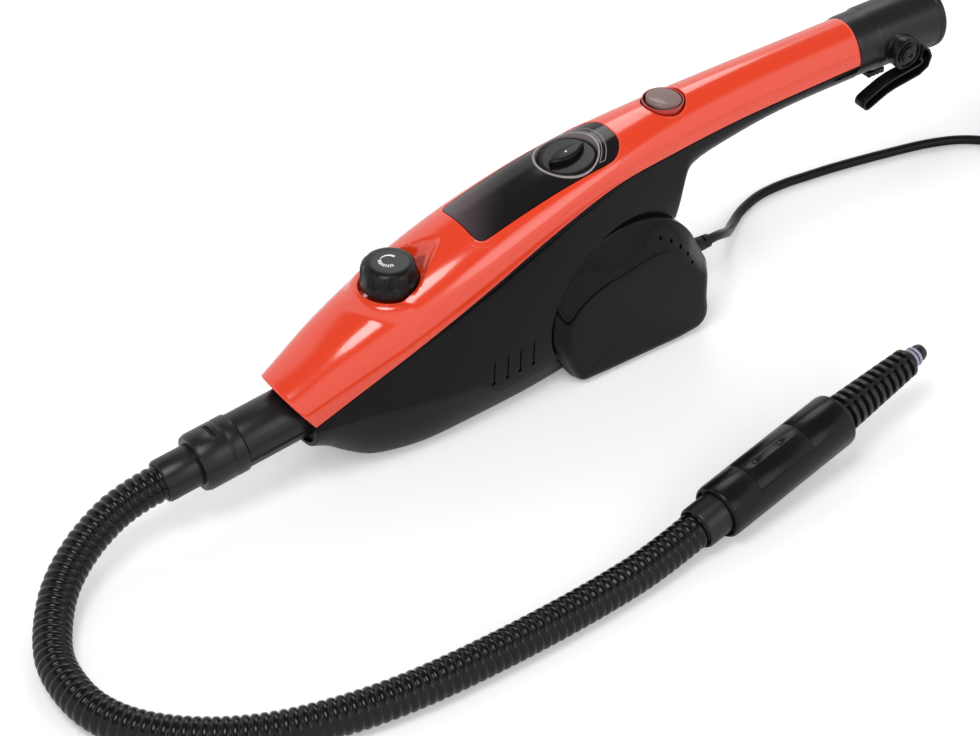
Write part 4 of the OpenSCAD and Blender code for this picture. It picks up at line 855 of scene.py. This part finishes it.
leftPod = podCover()
rightPod = mirrored(leftPod, "rightBoilerCover")
for x, z in pod["screws"]:
    cutWith(rightPod, prism(circle(x, z, screw["hole"], 32), pod["half"] - screw["sink"], 60, True))
for obj in (leftPod, rightPod):
    cutWith(obj, box(*pod["leadRoom"]))
standFor(paint(leftPod, "podGloss"), "left_boiler_cover")
standFor(paint(rightPod, "podGloss"), "right_boiler_cover")
print("pods done")


def tilted(points, origin, angle):
    # turns points about Y, then moves them to a place
    c, s = math.cos(angle), math.sin(angle)
    return [Vector((p[0] * c + p[2] * s, p[1], -p[0] * s + p[2] * c)) + Vector(origin) for p in points]


cap = {"x": 20, "sink": 13, "r": 19, "leafBend": 13, "edgeR": (25.4, 22.6), "edgeHalf": (50, 58),
       "rimR": 21.0}
capTilt = math.atan((crown(cap["x"] + 10) - crown(cap["x"] - 10)) / 20)
capSeat = (cap["x"] + cap["sink"] * math.sin(capTilt), 0, crown(cap["x"]) - cap["sink"] * math.cos(capTilt))


def atCap(name, profile, finish, sides=96, angle=35):
    points, faces = lathe(profile, sides)
    mesh = meshOf(tilted(points, capSeat, -capTilt), faces, name)
    return paint(outward(asObject(name, mesh)), finish, angle)


def domeRing(x, inset, base, n=40):
    st = station(x)
    top = [skin(st, a, inset) for a in spread(math.radians(30), math.radians(150), n)]
    return top + [Vector((x, p.y, base)) for p in top[::-1]]


def tankShape(grow, inset, base, floor):
    xs = spread(tank["front"] - 2, tank["back"] + 2, 60)
    dome = outward(asObject("tankDome", loft([domeRing(x, inset, base) for x in xs])))
    return cutWith(dome, prism(tankOutline(grow), floor, 200), "INTERSECT")


window = tankShape(0, 0.05, 80, tank["floor"])
cutWith(window, tankShape(-2, 2.05, 90, tank["floor"] + tank["wall"]))
cutWith(window, atCap("wellHole", [(0, -0.6), (21.2, -0.6), (21.2, 26), (0, 26)], "smokedTank"))
standFor(paint(window, "smokedTank"), "water_tank")
wellProfile = [(12.7, -0.5), (21.25, -0.5), (21.25, 25), (20.3, 25), (20.3, 2.4), (20.0, 1.8), (19.4, 1.6),
               (14.5, 1.6), (14.5, 4.2), (14.1, 4.6), (13.1, 4.6), (12.7, 4.2)]
well = atCap("capWell", wellProfile, "clearRing")
cutWith(well, tankShape(-0.05, 0.0, 80, tank["floor"]), "INTERSECT")
place(paint(well, "clearRing"), "unit", slotOf["water_tank"])

# the clear well's rim, and a crescent behind it
far, near = [arc(cap["x"], 0, r, -a, a, 24) for r, a in zip(cap["edgeR"], cap["edgeHalf"])]
rim = arc(cap["x"], 0, cap["rimR"], 0, 357, 80)
bead("wellEdge", far + near[::-1], 0.3, 0.15, "clearRing", "unit", slotOf["water_tank"])
bead("wellRim", rim, 0.55, 0.3, "clearRing", "unit", slotOf["water_tank"])


def leafRidge():
    # the lens-shaped grip across the cap, with rounded top edges
    n, points = 28, []
    levels = [(0, 8.6), (0, 12.4), (0.25, 13.0), (0.75, 13.4), (1.6, 13.6)]
    for inset, z in levels:
        r, bend = cap["r"] - inset, cap["leafBend"]
        reach = math.sqrt(max(0.01, r * r - bend * bend))
        top = [(t, math.sqrt(r * r - t * t) - bend) for t in spread(-reach, reach, n)]
        points += [(x, y, z) for x, y in top] + [(x, -y, z) for x, y in top[::-1][1:-1]]
    m = 2 * n
    last = (len(levels) - 1) * m
    ends = [tuple(range(m - 1, -1, -1)), tuple(range(last, last + m))]
    return points, aroundFaces(len(levels), m, False) + ends


capProfile = [(0, 7.2), (13.9, 7.2), (15, 6), (15, 2), (18.5, 2), (19.2, 2.3), (19.5, 3.0), (19.5, 7.4),
              (19.3, 8.1), (18.8, 8.7), (18.0, 9.1), (16.9, 9.35), (15, 9.4), (0, 9.4)]
dotProfile = [(0, 13.4), (0.7, 13.4), (0.7, 13.7), (0, 13.8)]
capPiece = atCap("tankCap", capProfile, "gripSatin", 120)
ridgePoints, ridgeFaces = leafRidge()
ridge = meshOf(tilted(ridgePoints, capSeat, -capTilt), ridgeFaces, "capRidge")
ridge = paint(outward(asObject("capRidge", ridge)), "gripSatin", 50)
standFor(capPiece, "tank_cap")
place(ridge, "cap", slotOf["tank_cap"])
place(atCap("capDot", dotProfile, "markWhite", 20), "cap", slotOf["tank_cap"])
print("tank and cap done")


def dialPiece():
    # a lathe shape whose side is scalloped by eight finger flutes
    r, part = dial["r"], 2 * math.pi / dial["flutes"]
    reach, hollow, low = r + dial["fluteAt"], dial["fluteR"], dial["fluteFrom"]
    profile = [(0, 4), (r - 2.2, 4), (r - 2.2, 0.2), (r - 2.0, 0), (r - 0.3, 0), (r, 0.3), (r, 2), (r, low),
               (r - 0.02, 5), (r - 0.1, 6.2), (r - 0.22, 8), (r - 0.4, 10), (r - 0.6, 12), (r - 0.85, 13.2),
               (r - 1.3, 14.2), (r - 2, 15.1), (r - 2.9, 15.8), (r - 4, 16.4), (r - 5.2, 16.8),
               (r - 6.4, 17), (r - 9, dial["top"]), (0, 17.1)]
    points, faces = lathe(profile, 192)
    moved = []
    for x, y, z in points:
        d, a = math.hypot(x, y), math.atan2(y, x)
        phi = ((a / part) % 1 - 0.5) * part
        if z > low and d > 8 and abs(reach * math.sin(phi)) < hollow:
            limit = reach * math.cos(phi) - math.sqrt(hollow ** 2 - (reach * math.sin(phi)) ** 2)
            d2 = min(d, lerp(d, limit, ease(z, low, 6.5)))
            x, y = x * d2 / d, y * d2 / d
        moved.append((x + dial["x"], y, z + dial["seat"] + dial["gap"]))
    return paint(outward(asObject("steamDial", meshOf(moved, faces))), "dialBlack", 40)


def tickRing():
    # bars set round a circle: how many, from which angle, how far apart
    g = Recipe("tickRing", {"Count": 9, "Radius": 0.005, "Start": 0.0, "Step": 0.1,
                            "Bar": (0.002, 0.0006, 0.0003), "Middle": (0.0, 0.0, 0.0),
                            "Material": "markWhite"})
    spots = g.add("GeometryNodePoints", None, {"Count": g.given["Count"]})
    turn = g.given["Start"] + g.add("GeometryNodeInputIndex") * g.given["Step"]
    at = g.add("ShaderNodeCombineXYZ", None, {"X": turn.math("COSINE", turn) * g.given["Radius"],
                                              "Y": turn.math("SINE", turn) * g.given["Radius"]})
    spots = g.add("GeometryNodeSetPosition", None, {"Geometry": spots, "Position": at})
    bar = g.add("GeometryNodeMeshCube", None, {"Size": g.given["Bar"]})
    facing = g.add("ShaderNodeCombineXYZ", None, {"Z": turn})
    bars = g.add("GeometryNodeInstanceOnPoints", None,
                 {"Points": spots, "Instance": bar, "Rotation": facing})
    moved = g.add("GeometryNodeTransform", None, {"Geometry": bars, "Translation": g.given["Middle"]})
    return g.done(moved, False)


standFor(dialPiece(), "dial_knob")
marks = {"top": dial["seat"] + dial["gap"] + dial["top"], "ticks": 9, "tickR": 5.6, "tickFrom": 148,
         "tickStep": 14.5, "tick": (2.3, 0.7, 0.7), "arcR": 5.4, "arcFrom": 142, "arcTurn": 128,
         "arcTip": 0.12, "arcGrowth": 0.75, "arcSteps": 40, "arcSink": 0.1, "arcRise": 0.14}
ticks = tickRing().make("dialTicks", bpy.data.meshes.new("empty"), Count=marks["ticks"],
                        Radius=marks["tickR"] * mm, Start=math.radians(marks["tickFrom"]),
                        Step=math.radians(marks["tickStep"]), Bar=tuple(v * mm for v in marks["tick"]),
                        Middle=(dial["x"] * mm, 0.0, marks["top"] * mm))
place(ticks, "dial", slotOf["dial_knob"])


def growingArc():
    # the curved wedge that shows which way gives more steam
    points, n = [], marks["arcSteps"]
    low, high = marks["top"] - marks["arcSink"], marks["top"] + marks["arcRise"]
    for t in spread(0, 1, n):
        a = math.radians(marks["arcFrom"] - marks["arcTurn"] * t)
        w = marks["arcTip"] + marks["arcGrowth"] * t
        inner, outer = marks["arcR"] - w, marks["arcR"] + w
        points += [(dial["x"] + r * math.cos(a), r * math.sin(a), z)
                   for r, z in ((inner, low), (inner, high), (outer, high), (outer, low))]
    faces = aroundFaces(n + 1, 4, False) + [(3, 2, 1, 0), tuple(4 * n + k for k in range(4))]
    return paint(outward(asObject("dialArc", meshOf(points, faces))), "markWhite", 30)


place(growingArc(), "dial", slotOf["dial_knob"])
print("dial done")


def switchLip():
    # round at the back, drawn out to a point at the front
    lip, shoulder, tip = switch["lip"], switch["shoulder"], switch["tip"]
    side = [(switch["x"] - lip * lerp(shoulder, tip, t), lip * shoulder * (1 - t)) for t in (0.25, 0.5, 0.75)]
    point = [(switch["x"] - lip * tip, 0)]
    return (arc(switch["x"], 0, lip, -switch["turn"], switch["turn"], 54) + side + point
            + [(x, -y) for x, y in side[::-1]])


bead("switchLip", switchLip(), 0.6, 0.35, "orangeGloss", "unit", slotOf["top_cover"])
print("switch lip done")

# each fitted part's finish and the size of its broken edges
dressed = {
    "pole_socket": ("blackSatin", 0.5), "cord_hook": ("gripSatin", 0.5), "hook_screw": ("dialBlack", 0.15),
    "tube_latch": ("gripSatin", 0.3), "spout": ("blackSatin", 0.3), "hose_collar": ("blackSatin", 0.3),
    "hose_cuff": ("blackSatin", 0.3), "grip_cuff": ("blackSatin", 0.3), "grip_body": ("gripSatin", 0.25),
    "grip_panel": ("gripSatin", 0.18), "grip_screws": ("dialBlack", 0.1), "grip_nozzle": ("blackSatin", 0.18),
    # the switch frame's darker orange is painted shade of its recess
    "nozzle_rings": ("ringGrey", 0), "body_screws": ("steel", 0.1), "switch_frame": ("orangeShaded", 0.3),
    "switch_boot": ("clearBoot", 0.3), "switch_rocker": ("innerBlack", 0.2)}
for node, (finish, bevel) in dressed.items():
    dress(node, finish, bevel)
print("fitted parts done")

inner = {
    "cap_seal": "ringGrey", "latch_spring": "steel", "tank_outlet": "softBlack", "dial_shaft": "steel",
    "steam_control": "innerBlack", "switch_body": "innerBlack", "circuit_board": "boardGreen",
    "boiler_casting": "castGrey", "heater_element": "steel", "boiler_mounts": "softBlack",
    "thermostat": "innerPale", "thermal_fuse": "steel", "pump_body": "innerPale", "pump_coil": "coilBrass",
    "pump_mounts": "softBlack", "suction_tube": "silicone", "feed_tube": "silicone",
    "steam_pipe": "silicone", "spout_seal": "softBlack", "cord_clamp": "innerBlack"}
for node, finish in inner.items():
    mesh = cadNodes[node].data
    for i in range(max(1, len(mesh.materials))):
        if len(mesh.materials):
            mesh.materials[i] = finishes[finish]
        else:
            mesh.materials.append(finishes[finish])
print("inner parts finished")

# place, size and power of each lamp; the surroundings are bright low down and dim above the edge
light = {"key": ((-0.75, -0.35, 1.9), 0.9, 15), "fill": ((0.5, -1.9, 1.5), 1.4, 8),
         "back": ((0.9, 1.2, 1.7), 1.0, 8)}
studio = {"aim": (0, 0, 0.08), "low": 1.0, "high": 0.22, "edge": 0.66, "soft": 0.05, "floor": 4000,
          "lift": (0.24, 0.24, 0.24)}


def makeFloor():
    f = Finish("paleFloor")
    seen = f.add("ShaderNodeLightPath")["Is Camera Ray"]
    f.shade(color=f.blend((0.90, 0.90, 0.90), (0.92, 0.92, 0.92), f.grain(3)), rough=0.9 + f.grain(40) * 0.05,
            glow=f.blend((0.0, 0.0, 0.0), studio["lift"], seen), glowStrength=1.0)
    e = studio["floor"]
    floor = asObject("floor", meshOf([(-e, -e, 0), (e, -e, 0), (e, e, 0), (-e, e, 0)], [(0, 1, 2, 3)]))
    floor.data.materials.append(f.mat)


def makeWorld():
    world = bpy.data.worlds.new("studio")
    scene.world = world
    world.use_nodes = True
    t = Tree()
    t.tree = world.node_tree
    t.tree.nodes.clear()
    up = t.add("ShaderNodeSeparateXYZ", None, {0: t.add("ShaderNodeTexCoord")["Generated"]})["Z"]
    edge, soft = studio["edge"], studio["soft"]
    glow = t.add("ShaderNodeMapRange", {"interpolation_type": "SMOOTHSTEP"},
                 {"Value": up, "From Min": edge - soft, "From Max": edge + soft,
                  "To Min": studio["low"], "To Max": studio["high"]})
    white = t.add("ShaderNodeMix", None, {0: t.add("ShaderNodeLightPath")["Is Camera Ray"], 2: glow, 3: 1.0})
    back = t.add("ShaderNodeBackground", None, {"Color": (1.0, 1.0, 1.0), "Strength": white})
    t.add("ShaderNodeOutputWorld", None, {"Surface": back})


def lamp(name, at, size, power):
    data = bpy.data.lights.new(name, "AREA")
    data.shape, data.size, data.energy = "DISK", size, power
    obj = bpy.data.objects.new(name, data)
    scene.collection.objects.link(obj)
    obj.location = at
    obj.rotation_mode = "QUATERNION"
    obj.rotation_quaternion = (Vector(studio["aim"]) - Vector(at)).to_track_quat("-Z", "Y")


makeFloor()
makeWorld()
for name, (at, size, power) in light.items():
    lamp(name, at, size, power)
scene.view_settings.view_transform = "Standard"
print("studio lit")
